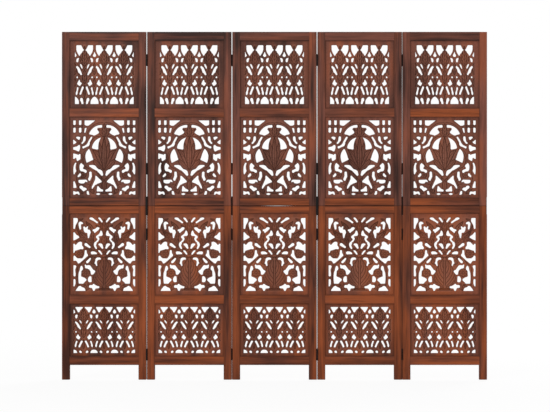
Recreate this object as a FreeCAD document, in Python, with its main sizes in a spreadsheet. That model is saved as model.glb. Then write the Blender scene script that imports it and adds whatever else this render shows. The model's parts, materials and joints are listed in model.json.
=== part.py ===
import FreeCAD, Part
import os
import re

# A folding screen of five carved wooden panels. X runs along the screen, Y through it with the
# front facing -Y, and Z up from the floor. The origin is on the floor, under the middle panel.

PANEL_COUNT = 5
MIDDLE_PANEL = (PANEL_COUNT + 1) // 2
PLANTS_PER_BAND = 3
KNUCKLE_COUNT = 5

# Driving sizes in millimetres: name, value, meaning.
SIZE_ROWS = [
    ("panelWidth", 400, "one panel over its stiles"),
    ("panelGap", 4, "between neighbouring panels"),
    ("frameDepth", 25, "front to back of stiles and rails"),
    ("stileWidth", 37, "face of a stile"),
    ("footHeight", 70, "stile ends below the bottom rail"),
    ("bottomRailHeight", 42, "face of the bottom rail"),
    ("borderOpeningHeight", 248, "between the bottom rail and the lower cross rail"),
    ("lowerCrossRailHeight", 42, "face of the lower cross rail"),
    ("treeOpeningHeight", 386, "between the lower cross rail and the seam rail"),
    ("lowerMeetingRailHeight", 37, "face of the rail under the seam"),
    ("upperMeetingRailHeight", 37, "face of the rail over the seam"),
    ("lotusOpeningHeight", 384, "between the seam rail and the upper cross rail"),
    ("upperCrossRailHeight", 42, "face of the upper cross rail"),
    ("friezeOpeningHeight", 320, "between the upper cross rail and the top rail"),
    ("topRailHeight", 42, "face of the top rail"),
    ("tenonLength", 20, "rail tenon into the stile"),
    ("tenonThickness", 9, "rail tenon, front to back"),
    ("tenonShoulder", 10, "rail edge to tenon"),
    ("tenonClearance", 0.2, "round a tenon and at its end"),
    ("insertThickness", 13, "carved board"),
    ("grooveDepth", 8, "groove for a carved board"),
    ("grooveClearance", 0.2, "each face of a board in its groove"),
    ("insertEndClearance", 0.5, "board edge to groove bottom"),
    ("sawAllowance", 0.5, "the saw's cut outside the drawn line of the large patterns"),
    ("borderSideMargin", 17, "plain wood beside the lowest piercings"),
    ("borderEndMargin", 14, "plain wood over and under the lowest piercings"),
    ("treeSideMargin", 15.5, "plain wood beside the tree"),
    ("treeEndMargin", 18.5, "plain wood over and under the tree"),
    ("lotusSideMargin", 15, "plain wood beside the lotus"),
    ("lotusEndMargin", 15.5, "plain wood over and under the lotus"),
    ("friezeSideMargin", 23.5, "plain wood beside the top piercings"),
    ("friezeEndMargin", 19.5, "plain wood over and under the top piercings"),
    ("smallHingeHeight", 55, "one small hinge"),
    ("seamHingeHeight", 89, "the hinge that crosses the seam"),
    ("hingeBelowTop", 134, "screen top to the middle of the highest hinge"),
    ("hingeAboveSeam", 176, "seam to the middle of the hinge over it"),
    ("hingeBelowSeam", 135, "seam to the middle of the hinge under it"),
    ("hingeAboveFloor", 120, "floor to the middle of the lowest hinge"),
    ("leafThickness", 1.6, "iron strip of the leaves and joining plates"),
    ("leafDepth", 18, "leaf from the frame's face inwards"),
    ("smallBarrelRadius", 3.2, "barrel of a small hinge"),
    ("seamBarrelRadius", 5.5, "barrel of the hinge that crosses the seam"),
    ("barrelStandoff", 0.4, "seam barrel to the frame's face, and any barrel to the other leaf"),
    ("knuckleClearance", 0.3, "between neighbouring knuckles"),
    ("smallPinRadius", 1.5, "pin of a small hinge"),
    ("seamPinRadius", 3, "pin of the hinge that crosses the seam"),
    ("pinClearance", 0.05, "pin in its knuckles"),
    ("plateHeight", 81, "joining plate on an outer edge"),
    ("plateDepth", 18, "joining plate, front to back"),
    ("housingDepth", 2.6, "housing cut for a joining plate"),
    ("housingClearance", 0.2, "each end of a joining plate"),
    ("screwLength", 14, "wood screw over all"),
    ("screwPointLength", 4, "tapered point of a screw"),
    ("screwShankRadius", 1.5, "shank of a screw"),
    ("screwHeadRadius", 2.9, "countersunk head of a screw"),
    ("screwTipRadius", 0.3, "end of a screw's point"),
    ("screwSlotWidth", 0.8, "driver slot across a head"),
    ("screwSlotDepth", 0.6, "driver slot into a head"),
    ("screwClearance", 0.1, "round a screw in wood and iron"),
    ("smallHingeScrewSpacing", 34, "between the two screws of a small leaf"),
    ("seamScrewNearSeam", 15, "seam to the nearer screws"),
    ("seamScrewFarFromSeam", 33, "seam to the further screws"),
]

# Piercings of the carved boards. A hole is a list of corners, each with its distance from the
# pattern's centre line as a share of the pattern's width, its distance from the pattern's top as a
# share of the height, and the bow of the side that starts there: how far an arc's middle stands
# out of the hole, as a share of the side's length. Corners run clockwise as seen from the front.
# Every hole is repeated in the mirror on the other side of the centre line.
LOTUS_SHARES = {
    "fan": [(0.150, 0.002, 0), (0.315, 0.002, 0), (0.315, 0.056, 0.12), (0.250, 0.068, 0)],
    "top_slot": [(0.368, 0.002, 0), (0.405, 0.002, 0), (0.405, 0.052, 0.3), (0.368, 0.052, 0)],
    "top_edge_slot": [(0.460, 0.003, 0), (0.496, 0.003, 0), (0.496, 0.052, 0.3), (0.460, 0.052, 0)],
    "wedge": [(0.285, 0.108, 0.2), (0.313, 0.108, 0), (0.321, 0.160, 0.3), (0.302, 0.160, 0)],
    "second_slot": [(0.368, 0.108, 0.3), (0.405, 0.108, 0), (0.405, 0.154, 0.3), (0.368, 0.154, 0)],
    "second_edge_slot": [
        (0.460, 0.108, 0.3), (0.496, 0.108, 0), (0.496, 0.154, 0.3), (0.460, 0.154, 0)],
    "crest": [
        (0.042, 0.063, 0.15), (0.238, 0.170, 0.3), (0.228, 0.187, -0.05), (0.165, 0.203, 0.05),
        (0.092, 0.170, 0.25), (0.094, 0.148, 0), (0.117, 0.120, 0), (0.105, 0.099, 0),
        (0.042, 0.096, 0.2)],
    "tall_drop": [
        (0.055, 0.232, 0.15), (0.197, 0.366, 0), (0.185, 0.378, 0), (0.115, 0.390, 0.2),
        (0.097, 0.380, -0.08)],
    "ring_slit": [
        (0.192, 0.230, 0.3), (0.215, 0.225, 0.03), (0.268, 0.305, -0.12), (0.345, 0.350, 0.3),
        (0.335, 0.377, -0.03), (0.252, 0.345, 0.12), (0.235, 0.298, 0)],
    "bent_slit": [
        (0.300, 0.224, 0.3), (0.333, 0.224, 0), (0.340, 0.268, -0.1), (0.365, 0.300, 0.4),
        (0.345, 0.312, 0), (0.313, 0.280, 0.1), (0.300, 0.255, 0)],
    "seed": [(0.388, 0.228, 0.1), (0.445, 0.222, 0.3), (0.438, 0.242, 0), (0.415, 0.258, 0.3),
             (0.395, 0.250, 0.1)],
    "edge_fan": [(0.448, 0.292, 0), (0.497, 0.260, 0), (0.497, 0.320, 0.1)],
    "edge_leaf": [
        (0.390, 0.345, 0.35), (0.415, 0.335, 0), (0.440, 0.352, 0), (0.497, 0.362, 0),
        (0.497, 0.390, 0), (0.455, 0.400, 0), (0.420, 0.415, 0.25), (0.400, 0.400, 0.08)],
    "edge_cross": [
        (0.383, 0.455, 0.1), (0.402, 0.455, 0), (0.417, 0.466, 0), (0.435, 0.459, 0),
        (0.497, 0.446, 0), (0.497, 0.515, 0.1), (0.480, 0.516, 0), (0.458, 0.500, -0.2),
        (0.447, 0.512, 0), (0.440, 0.540, 0.25), (0.420, 0.540, 0.05), (0.383, 0.518, 0)],
    "great_leaf": [
        (0.238, 0.392, 0.35), (0.258, 0.394, 0.09), (0.302, 0.480, 0.05), (0.284, 0.562, 0.4),
        (0.270, 0.564, 0), (0.190, 0.532, 0.35), (0.187, 0.510, 0.03)],
    "sepal_slit": [
        (0.020, 0.728, 0), (0.032, 0.685, 0.1), (0.090, 0.660, -0.05), (0.140, 0.615, 0.08),
        (0.190, 0.601, 0), (0.235, 0.602, 0.4), (0.228, 0.622, 0.03), (0.120, 0.675, 0),
        (0.045, 0.740, 0.35)],
    "curl": [
        (0.370, 0.574, 0.12), (0.396, 0.620, 0.03), (0.392, 0.660, 0.1), (0.372, 0.682, 0),
        (0.340, 0.685, -0.05), (0.310, 0.701, 0.3), (0.284, 0.692, 0.2), (0.295, 0.668, 0),
        (0.343, 0.652, 0), (0.340, 0.632, -0.1), (0.325, 0.618, 0.1), (0.350, 0.590, 0)],
    "edge_blade": [
        (0.450, 0.578, 0.3), (0.470, 0.574, 0.06), (0.494, 0.640, 0.03), (0.490, 0.722, 0.3),
        (0.478, 0.720, 0), (0.450, 0.680, -0.1)],
    "arrow": [
        (0.128, 0.747, 0.35), (0.143, 0.755, 0), (0.143, 0.790, 0), (0.200, 0.895, 0),
        (0.198, 0.915, 0.3), (0.185, 0.912, 0), (0.145, 0.865, 0.08), (0.110, 0.850, 0),
        (0.055, 0.833, 0.3), (0.050, 0.812, 0)],
    "pod": [
        (0.205, 0.700, 0.3), (0.240, 0.697, 0), (0.240, 0.745, -0.03), (0.257, 0.782, 0.25),
        (0.238, 0.810, 0.3), (0.225, 0.800, 0), (0.200, 0.755, 0)],
    "drop": [
        (0.375, 0.725, 0.3), (0.397, 0.715, 0), (0.425, 0.745, 0.3), (0.412, 0.762, 0),
        (0.385, 0.748, 0.1)],
    "tray": [
        (0.272, 0.830, 0.1), (0.285, 0.803, 0.1), (0.310, 0.799, 0), (0.410, 0.802, 0.15),
        (0.403, 0.838, 0.1), (0.320, 0.842, 0), (0.305, 0.822, 0)],
    "edge_thorn": [
        (0.446, 0.903, 0), (0.454, 0.870, 0), (0.476, 0.824, 0.35), (0.495, 0.828, 0),
        (0.495, 0.905, 0.05)],
    "bird_wing": [
        (0.283, 0.922, 0.15), (0.330, 0.905, 0), (0.350, 0.885, 0.1), (0.390, 0.882, 0.3),
        (0.375, 0.918, 0), (0.345, 0.946, 0.2), (0.318, 0.946, 0), (0.290, 0.932, 0.2)],
    "low_leaf": [
        (0.090, 0.893, 0.3), (0.112, 0.890, 0), (0.118, 0.928, 0), (0.120, 0.945, 0.3),
        (0.100, 0.953, 0), (0.030, 0.955, 0.3), (0.022, 0.935, 0), (0.060, 0.920, 0)],
    "eye": [(0.067, 0.990, 0.22), (0.129, 0.990, 0.22)],
    "peg": [(0.253, 0.956, 0.25), (0.280, 0.956, 0), (0.280, 0.985, 0), (0.268, 0.997, 0),
            (0.238, 0.997, 0)],
    "bridge": [
        (0.396, 0.995, 0), (0.406, 0.965, 0.1), (0.430, 0.958, 0), (0.452, 0.963, 0),
        (0.497, 0.952, 0), (0.497, 0.995, 0), (0.474, 0.997, 0), (0.440, 0.983, -0.1),
        (0.412, 0.999, 0)],
}
TREE_SHARES = {
    "top_slit": [
        (0.028, 0.052, 0), (0.060, 0.010, 0.1), (0.085, 0.002, 0.3), (0.095, 0.012, 0),
        (0.050, 0.058, 0.3), (0.032, 0.062, 0.2)],
    "long_top_slit": [
        (0.104, 0.062, 0), (0.160, 0.026, 0), (0.178, 0.008, 0.1), (0.230, 0.004, 0.3),
        (0.232, 0.022, 0), (0.164, 0.050, 0), (0.121, 0.076, 0.35)],
    "edge_drop": [
        (0.434, 0.010, 0), (0.496, 0.008, 0), (0.496, 0.147, 0.3), (0.473, 0.149, 0),
        (0.461, 0.102, 0), (0.429, 0.054, 0.1)],
    "hook": [
        (0.345, 0.072, 0.1), (0.390, 0.058, 0.2), (0.412, 0.100, 0.03), (0.398, 0.156, 0.4),
        (0.373, 0.150, 0), (0.377, 0.100, -0.25), (0.350, 0.090, 0.2)],
    "leaf": [
        (0.080, 0.150, 0.25), (0.100, 0.134, 0.15), (0.135, 0.148, -0.1), (0.178, 0.163, 0.3),
        (0.182, 0.182, 0), (0.165, 0.190, 0), (0.160, 0.205, 0.4), (0.145, 0.203, 0),
        (0.100, 0.172, 0.05)],
    "bow_tie": [
        (0.262, 0.128, 0.3), (0.280, 0.126, 0), (0.298, 0.141, 0), (0.318, 0.124, 0.2),
        (0.338, 0.132, 0), (0.330, 0.172, 0.08), (0.308, 0.203, 0.1), (0.278, 0.205, -0.1),
        (0.270, 0.235, 0), (0.262, 0.276, 0.4), (0.247, 0.274, 0), (0.232, 0.228, 0),
        (0.220, 0.207, 0.1), (0.238, 0.168, 0), (0.264, 0.166, 0), (0.270, 0.150, 0)],
    "s_slot": [
        (0.042, 0.185, 0.35), (0.062, 0.186, -0.05), (0.085, 0.225, 0), (0.120, 0.248, 0.3),
        (0.122, 0.282, -0.25), (0.112, 0.305, -0.05), (0.152, 0.337, 0.15), (0.160, 0.395, 0.03),
        (0.138, 0.425, 0.4), (0.120, 0.415, 0), (0.137, 0.375, 0.15), (0.125, 0.342, 0),
        (0.100, 0.325, 0), (0.083, 0.300, 0.2), (0.098, 0.265, 0), (0.083, 0.252, 0),
        (0.045, 0.248, 0.25), (0.030, 0.220, 0.05)],
    "edge_triangle": [
        (0.402, 0.272, 0.15), (0.440, 0.243, 0), (0.482, 0.202, 0.2), (0.496, 0.206, 0),
        (0.496, 0.310, 0), (0.470, 0.303, 0)],
    "bud": [
        (0.020, 0.405, 0), (0.028, 0.375, 0.15), (0.055, 0.355, 0.05), (0.085, 0.356, 0.4),
        (0.080, 0.378, 0), (0.035, 0.424, 0.35)],
    "side_slit": [
        (0.220, 0.401, 0), (0.282, 0.352, 0.1), (0.307, 0.351, 0.35), (0.297, 0.387, 0),
        (0.240, 0.414, 0.2)],
    "edge_block": [
        (0.358, 0.342, 0.1), (0.385, 0.331, 0.12), (0.440, 0.360, 0), (0.460, 0.377, -0.1),
        (0.475, 0.362, 0.2), (0.496, 0.362, 0), (0.496, 0.478, 0.3), (0.484, 0.478, 0),
        (0.468, 0.450, 0), (0.430, 0.441, 0), (0.385, 0.428, -0.03), (0.350, 0.430, 0.25),
        (0.336, 0.412, 0.05), (0.360, 0.380, 0)],
    "stem_slit": [
        (0.035, 0.492, 0), (0.060, 0.458, 0.08), (0.090, 0.447, 0.35), (0.094, 0.458, 0),
        (0.050, 0.503, 0.35)],
    "level_slit": [
        (0.120, 0.484, 0), (0.150, 0.466, 0.03), (0.200, 0.463, 0.15), (0.217, 0.480, 0.1),
        (0.203, 0.500, 0), (0.132, 0.497, 0.35)],
    "boat": [
        (0.285, 0.452, 0.3), (0.313, 0.452, 0), (0.318, 0.500, -0.05), (0.340, 0.540, -0.15),
        (0.365, 0.559, 0), (0.430, 0.557, -0.05), (0.470, 0.523, 0.3), (0.495, 0.533, 0),
        (0.495, 0.587, 0), (0.458, 0.586, -0.1), (0.425, 0.622, 0.15), (0.390, 0.613, 0),
        (0.340, 0.578, 0), (0.275, 0.527, 0.25), (0.266, 0.508, 0.1), (0.282, 0.488, 0)],
    "crescent": [
        (0.058, 0.560, 0.2), (0.085, 0.546, 0.06), (0.122, 0.549, 0.15), (0.143, 0.590, 0),
        (0.157, 0.622, 0), (0.140, 0.635, 0), (0.130, 0.655, 0.35), (0.114, 0.652, 0),
        (0.121, 0.605, -0.1), (0.100, 0.577, -0.08), (0.064, 0.572, 0.2)],
    "cigar": [
        (0.215, 0.562, 0.3), (0.235, 0.554, 0), (0.290, 0.598, 0.3), (0.275, 0.620, 0.1),
        (0.255, 0.612, 0.05)],
    "branch": [
        (0.222, 0.660, 0.15), (0.250, 0.650, 0), (0.290, 0.652, 0), (0.300, 0.642, 0.4),
        (0.312, 0.655, 0), (0.308, 0.683, 0.2), (0.280, 0.690, 0), (0.240, 0.708, 0),
        (0.222, 0.730, 0), (0.215, 0.762, 0.3), (0.193, 0.776, 0.1), (0.165, 0.757, 0),
        (0.147, 0.738, 0.2), (0.175, 0.715, 0)],
    "great_boot": [
        (0.352, 0.668, 0.4), (0.382, 0.670, 0.03), (0.395, 0.715, 0), (0.412, 0.755, 0.03),
        (0.410, 0.893, 0.2), (0.395, 0.898, 0), (0.345, 0.899, 0.1), (0.325, 0.882, 0),
        (0.295, 0.860, 0.3), (0.305, 0.830, 0.08), (0.340, 0.815, 0), (0.375, 0.800, 0),
        (0.370, 0.728, 0), (0.347, 0.708, 0.1)],
    "edge_lance": [
        (0.451, 0.668, 0.2), (0.472, 0.652, 0), (0.495, 0.652, 0), (0.495, 0.792, 0.3),
        (0.463, 0.792, 0), (0.462, 0.760, 0), (0.470, 0.710, 0)],
    "edge_slot": [
        (0.466, 0.848, 0.4), (0.495, 0.848, 0), (0.495, 0.932, 0.3), (0.480, 0.932, 0),
        (0.465, 0.905, 0.03)],
    "shield": [
        (0.208, 0.806, 0.2), (0.240, 0.804, 0.1), (0.263, 0.845, 0.1), (0.247, 0.877, 0.1),
        (0.204, 0.873, 0)],
    "low_flower": [
        (0.083, 0.944, 0.3), (0.100, 0.937, 0), (0.140, 0.922, 0), (0.165, 0.905, 0.2),
        (0.190, 0.920, 0), (0.225, 0.920, 0.2), (0.243, 0.935, 0.3), (0.232, 0.954, 0),
        (0.200, 0.958, 0), (0.188, 0.975, 0), (0.180, 0.992, 0.3), (0.155, 0.990, 0),
        (0.142, 0.965, 0), (0.095, 0.960, 0.3)],
    "low_dome": [
        (0.304, 0.997, 0), (0.312, 0.970, 0.1), (0.345, 0.953, 0), (0.370, 0.942, 0.15),
        (0.395, 0.932, 0.1), (0.430, 0.958, 0.05), (0.460, 0.997, 0)],
}
# The two bands repeat a plant. Widths are shares of one repeat, measured from the plant's stem.
FRIEZE_SHARES = {
    "bud_space": [
        (0.162, 0.012, 0.1), (0.196, 0.003, 0), (0.406, 0.003, 0.15), (0.427, 0.030, 0),
        (0.427, 0.076, 0.05), (0.342, 0.149, 0), (0.287, 0.178, 0.35), (0.240, 0.176, 0),
        (0.205, 0.151, 0.05), (0.145, 0.131, 0.05), (0.115, 0.109, 0), (0.055, 0.092, 0.35),
        (0.075, 0.073, 0)],
    "bean": [
        (0.290, 0.229, 0.3), (0.315, 0.219, 0), (0.376, 0.224, 0.15), (0.425, 0.256, 0.1),
        (0.418, 0.281, 0.2), (0.390, 0.292, 0.05), (0.345, 0.289, 0.1), (0.322, 0.264, 0)],
    "short_slit": [
        (0.108, 0.385, 0.05), (0.165, 0.333, 0.1), (0.215, 0.323, 0.3), (0.245, 0.333, 0),
        (0.200, 0.370, 0), (0.150, 0.397, 0.3), (0.115, 0.398, 0.1)],
    "long_slit": [
        (0.142, 0.488, 0), (0.235, 0.412, 0), (0.300, 0.375, 0), (0.385, 0.354, 0.2),
        (0.430, 0.366, 0.2), (0.410, 0.390, 0), (0.365, 0.415, 0), (0.330, 0.460, 0.1),
        (0.270, 0.475, 0), (0.205, 0.507, 0.2), (0.155, 0.507, 0.25)],
    "dot": [(0.340, 0.546, 0.6), (0.420, 0.546, 0.6)],
    "diamond": [
        (0.250, 0.592, 0.3), (0.300, 0.592, 0), (0.380, 0.645, 0.2), (0.355, 0.668, 0),
        (0.262, 0.692, 0.1), (0.215, 0.685, 0), (0.150, 0.652, 0.2), (0.170, 0.638, 0),
        (0.230, 0.625, 0)],
    "inner_slit": [
        (0.055, 0.728, 0.2), (0.080, 0.704, 0.3), (0.140, 0.704, 0), (0.190, 0.750, 0),
        (0.262, 0.818, 0.25), (0.230, 0.840, 0.15), (0.175, 0.833, 0), (0.125, 0.782, 0)],
    "outer_slit": [
        (0.318, 0.738, 0.2), (0.345, 0.715, 0.3), (0.398, 0.722, 0), (0.412, 0.765, 0),
        (0.455, 0.805, 0.05), (0.450, 0.838, 0.3), (0.395, 0.842, 0.1), (0.360, 0.790, 0)],
    "foot_slit": [
        (0.069, 0.970, 0), (0.094, 0.916, 0.1), (0.141, 0.896, 0.2), (0.213, 0.898, 0.2),
        (0.190, 0.958, 0), (0.164, 0.992, 0.1), (0.085, 0.998, 0.2)],
}
# Half a hole each, against the line between two repeats, where its mirror completes it.
FRIEZE_BETWEEN_SHARES = {
    "kite": [
        (0.500, 0.204, 0.05), (0.446, 0.197, 0.1), (0.416, 0.172, 0), (0.464, 0.144, 0),
        (0.486, 0.121, 0.2), (0.500, 0.118, 0)],
    "dome": [
        (0.500, 0.997, 0), (0.292, 0.997, 0), (0.295, 0.972, 0.1), (0.370, 0.905, 0.1),
        (0.500, 0.873, 0)],
}
BORDER_SHARES = {
    "bud_space": [
        (0.046, 0.022, 0.2), (0.074, 0.006, 0), (0.394, 0.006, 0.25), (0.388, 0.036, 0),
        (0.297, 0.109, 0.2), (0.242, 0.122, 0.15), (0.192, 0.090, 0), (0.132, 0.061, 0)],
    "bean": [
        (0.294, 0.190, 0.2), (0.342, 0.170, 0.1), (0.396, 0.180, 0.15), (0.420, 0.214, 0.1),
        (0.392, 0.250, 0.2), (0.343, 0.248, 0.1), (0.313, 0.220, 0)],
    "short_slit": [
        (0.099, 0.350, 0.05), (0.151, 0.306, 0.05), (0.199, 0.293, 0.3), (0.225, 0.303, 0),
        (0.178, 0.341, 0), (0.120, 0.363, 0.3)],
    "long_slit": [
        (0.142, 0.466, 0), (0.215, 0.396, 0), (0.308, 0.340, 0), (0.383, 0.318, 0.2),
        (0.425, 0.330, 0.2), (0.396, 0.357, 0), (0.345, 0.394, 0), (0.313, 0.427, 0.05),
        (0.245, 0.463, 0), (0.198, 0.485, 0.15), (0.156, 0.484, 0.25)],
    "dot": [(0.342, 0.543, 0.5), (0.418, 0.543, 0.5)],
    "diamond": [
        (0.251, 0.606, 0.3), (0.307, 0.605, 0), (0.373, 0.647, 0.2), (0.344, 0.679, 0.05),
        (0.261, 0.706, 0.2), (0.209, 0.695, 0), (0.172, 0.669, 0.3), (0.219, 0.640, 0)],
    "inner_slit": [
        (0.050, 0.756, 0.25), (0.085, 0.733, 0.1), (0.141, 0.739, 0), (0.197, 0.790, 0),
        (0.255, 0.850, 0.25), (0.227, 0.877, 0.15), (0.180, 0.874, 0), (0.130, 0.817, 0)],
    "outer_slit": [
        (0.306, 0.757, 0.25), (0.336, 0.737, 0.2), (0.386, 0.751, 0), (0.440, 0.828, 0.1),
        (0.430, 0.863, 0.25), (0.390, 0.873, 0.1), (0.355, 0.815, 0)],
    "foot_slit": [
        (0.098, 0.980, 0.15), (0.138, 0.952, 0.15), (0.208, 0.952, 0.25), (0.199, 0.990, 0.1),
        (0.120, 0.999, 0.2)],
}
BORDER_BETWEEN_SHARES = {
    "kite": [
        (0.500, 0.146, 0.1), (0.441, 0.133, 0.15), (0.419, 0.109, 0), (0.454, 0.076, 0.1),
        (0.500, 0.059, 0)],
    "dome": [
        (0.500, 0.999, 0), (0.322, 0.999, 0), (0.328, 0.974, 0.05), (0.386, 0.941, 0.1),
        (0.500, 0.928, 0)],
}

doc = FreeCAD.newDocument("carved_screen")
sheet = doc.addObject("Spreadsheet::Sheet", "Sizes")
for row, (alias, value, meaning) in enumerate(SIZE_ROWS, start=1):
    sheet.set(f"A{row}", meaning)
    sheet.set(f"B{row}", str(value))
    sheet.setAlias(f"B{row}", alias)
doc.recompute()

ALIASES = {alias for alias, _, _ in SIZE_ROWS}
UPRIGHT = FreeCAD.Rotation()
HALF_TURN = FreeCAD.Rotation(FreeCAD.Vector(0, 0, 1), 180)
POINTING_LEFT = FreeCAD.Rotation(FreeCAD.Vector(0, 1, 0), -90)

# Levels above the floor, worked out from the stack of feet, rails and openings.
STACK = [
    ("feet", "footHeight"),
    ("bottom_rail", "bottomRailHeight"),
    ("border", "borderOpeningHeight"),
    ("lower_cross_rail", "lowerCrossRailHeight"),
    ("tree", "treeOpeningHeight"),
    ("lower_meeting_rail", "lowerMeetingRailHeight"),
    ("upper_meeting_rail", "upperMeetingRailHeight"),
    ("lotus", "lotusOpeningHeight"),
    ("upper_cross_rail", "upperCrossRailHeight"),
    ("frieze", "friezeOpeningHeight"),
    ("top_rail", "topRailHeight"),
]
LEVEL = {}
RISE = {}
stack_top = "0"
for part_name, rise in STACK:
    LEVEL[part_name] = stack_top
    RISE[part_name] = rise
    stack_top = f"{stack_top} + {rise}"
SCREEN_TOP = f"({stack_top})"
SEAM = f"({LEVEL['upper_meeting_rail']})"
HALVES = {
    "lower": ("0", SEAM, ["bottom_rail", "lower_cross_rail", "lower_meeting_rail"], ["border", "tree"]),
    "upper": (SEAM, f"({SCREEN_TOP} - {SEAM})",
              ["upper_meeting_rail", "upper_cross_rail", "top_rail"], ["lotus", "frieze"]),
}
OPENING_WIDTH = "(panelWidth - 2 * stileWidth)"
EDGE = "(panelWidth / 2)"
BARREL_AXIS = "(-(frameDepth / 2 + barrelStandoff + seamBarrelRadius))"
SMALL_HINGE_CENTRES = [
    "hingeAboveFloor",
    f"({SEAM} - hingeBelowSeam)",
    f"({SEAM} + hingeAboveSeam)",
    f"({SCREEN_TOP} - hingeBelowTop)",
]
SMALL_SCREW_OFFSETS = ["-smallHingeScrewSpacing / 2", "+ smallHingeScrewSpacing / 2"]
SEAM_SCREW_OFFSETS = [
    "-seamScrewFarFromSeam", "-seamScrewNearSeam", "+ seamScrewNearSeam", "+ seamScrewFarFromSeam"]


def size(alias):
    """A driving size as a number."""
    return float(sheet.get(alias))


def bind(item, name, text):
    """Ties one property of an object to an expression in the driving sizes."""
    full = re.sub(r"[A-Za-z]\w*", lambda word: f"Sizes.{word.group()}", text)
    item.setExpression(name, full)


def place(item, x="0", y="0", z="0", turn=UPRIGHT):
    """Stands an object at a point given in the driving sizes."""
    item.Placement = FreeCAD.Placement(FreeCAD.Vector(), turn)
    bind(item, "Placement.Base.x", x)
    bind(item, "Placement.Base.y", y)
    bind(item, "Placement.Base.z", z)
    return item


def block(label, x, y, z):
    """A block; each argument is its lower side and its length that way."""
    item = doc.addObject("Part::Box", label)
    bind(item, "Length", x[1])
    bind(item, "Width", y[1])
    bind(item, "Height", z[1])
    return place(item, x[0], y[0], z[0])


def rod(label, radius, length, x="0", y="0", z="0", turn=UPRIGHT):
    item = doc.addObject("Part::Cylinder", label)
    bind(item, "Radius", radius)
    bind(item, "Height", length)
    return place(item, x, y, z, turn)


def taper(label, start_radius, end_radius, length, x="0", y="0", z="0", turn=UPRIGHT):
    item = doc.addObject("Part::Cone", label)
    bind(item, "Radius1", start_radius)
    bind(item, "Radius2", end_radius)
    bind(item, "Height", length)
    return place(item, x, y, z, turn)


def joined(label, pieces):
    item = doc.addObject("Part::MultiFuse", label)
    item.Shapes = pieces
    return item


def group(label, pieces, x="0", z="0", turn=UPRIGHT):
    """Several separate solids, moved together."""
    item = doc.addObject("Part::Compound", label)
    item.Links = pieces
    return place(item, x, "0", z, turn)


def cut(label, stock, tools):
    item = doc.addObject("Part::Cut", label)
    item.Base = stock
    item.Tool = group(f"{label}_cuts", tools)
    return item


def middle(length):
    """Lower side and length of something centred on zero."""
    return (f"-({length}) / 2", length)


def make_rail(name, grooves):
    """A rail between the stiles, with a tenon at each end and a groove beside each board."""
    level, rise = LEVEL[name], RISE[name]
    face = block(f"{name}_face", middle(OPENING_WIDTH), middle("frameDepth"), (level, rise))
    tenon = block(f"{name}_tenon", middle(f"{OPENING_WIDTH} + 2 * tenonLength"),
                  middle("tenonThickness"), (f"{level} + tenonShoulder", f"{rise} - 2 * tenonShoulder"))
    lower_side = {"top": f"{level} + {rise} - grooveDepth", "bottom": level}
    slots = [
        block(f"{name}_{side}_groove", middle(OPENING_WIDTH),
              middle("insertThickness + 2 * grooveClearance"), (lower_side[side], "grooveDepth"))
        for side in grooves
    ]
    return cut(name, joined(f"{name}_blank", [face, tenon]), slots)


def pilot_hole(label, offset, centre, surface):
    """A hole for a screw whose head lies the given distance outside the right-hand edge."""
    depth = f"(screwLength + screwClearance - ({surface}))"
    return rod(label, "screwShankRadius + screwClearance", depth,
               x=EDGE, z=f"{centre} {offset}", turn=POINTING_LEFT)


def make_stile(half, outer):
    """The right-hand stile of a half, mortised, grooved and bored; outer ones hold a joining plate."""
    bottom, tall, rails, boards = HALVES[half]
    name = f"{half}_stile_{'outer' if outer else 'hinged'}"
    inner_side = f"({EDGE} - stileWidth)"
    stock = block(f"{name}_blank", (inner_side, "stileWidth"), middle("frameDepth"), (bottom, tall))
    cuts = [
        block(f"{name}_{rail}_mortise", (inner_side, "tenonLength + tenonClearance"),
              middle("tenonThickness + 2 * tenonClearance"),
              (f"{LEVEL[rail]} + tenonShoulder - tenonClearance",
               f"{RISE[rail]} - 2 * tenonShoulder + 2 * tenonClearance"))
        for rail in rails
    ]
    cuts += [
        block(f"{name}_{board}_groove", (inner_side, "grooveDepth"),
              middle("insertThickness + 2 * grooveClearance"),
              (f"{LEVEL[board]} - grooveDepth", f"{RISE[board]} + 2 * grooveDepth"))
        for board in boards
    ]
    is_upper = half == "upper"
    seam_offsets = SEAM_SCREW_OFFSETS[2:] if is_upper else SEAM_SCREW_OFFSETS[:2]
    if outer:
        cuts.append(block(f"{name}_housing", (f"{EDGE} - housingDepth", "housingDepth"),
                          middle("frameDepth"),
                          (f"{SEAM} - plateHeight / 2 - housingClearance",
                           "plateHeight + 2 * housingClearance")))
        surface = "leafThickness - housingDepth"
    else:
        surface = "leafThickness"
        centres = SMALL_HINGE_CENTRES[2:] if is_upper else SMALL_HINGE_CENTRES[:2]
        for position, centre in enumerate(centres, start=1):
            cuts += [pilot_hole(f"{name}_hole_{position}_{end}", offset, centre, surface)
                     for end, offset in enumerate(SMALL_SCREW_OFFSETS, start=1)]
    cuts += [pilot_hole(f"{name}_seam_hole_{end}", offset, SEAM, surface)
             for end, offset in enumerate(seam_offsets, start=1)]
    return cut(name, stock, cuts)


def hole_side(start, end, bow):
    """One side of a hole: straight, or an arc whose middle is bowed out to the left."""
    if bow == 0:
        return Part.LineSegment(start, end).toShape()
    run = end - start
    outwards = FreeCAD.Vector(-run.z, 0, run.x)
    return Part.Arc(start, (start + end) * 0.5 + outwards * bow, end).toShape()


def hole_sides(shares, width, height):
    """The sides of an open or closed run of corners, in the plane of the board's middle."""
    corners = [FreeCAD.Vector(across * width, 0, (1 / 2 - down) * height) for across, down, _ in shares]
    bows = [bow for _, _, bow in shares]
    return [hole_side(*run) for run in zip(corners, corners[1:], bows)]


def closed(shares):
    return shares + shares[:1]


def mirrored(shape, across=0):
    return shape.mirror(FreeCAD.Vector(across, 0, 0), FreeCAD.Vector(1, 0, 0))


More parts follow.
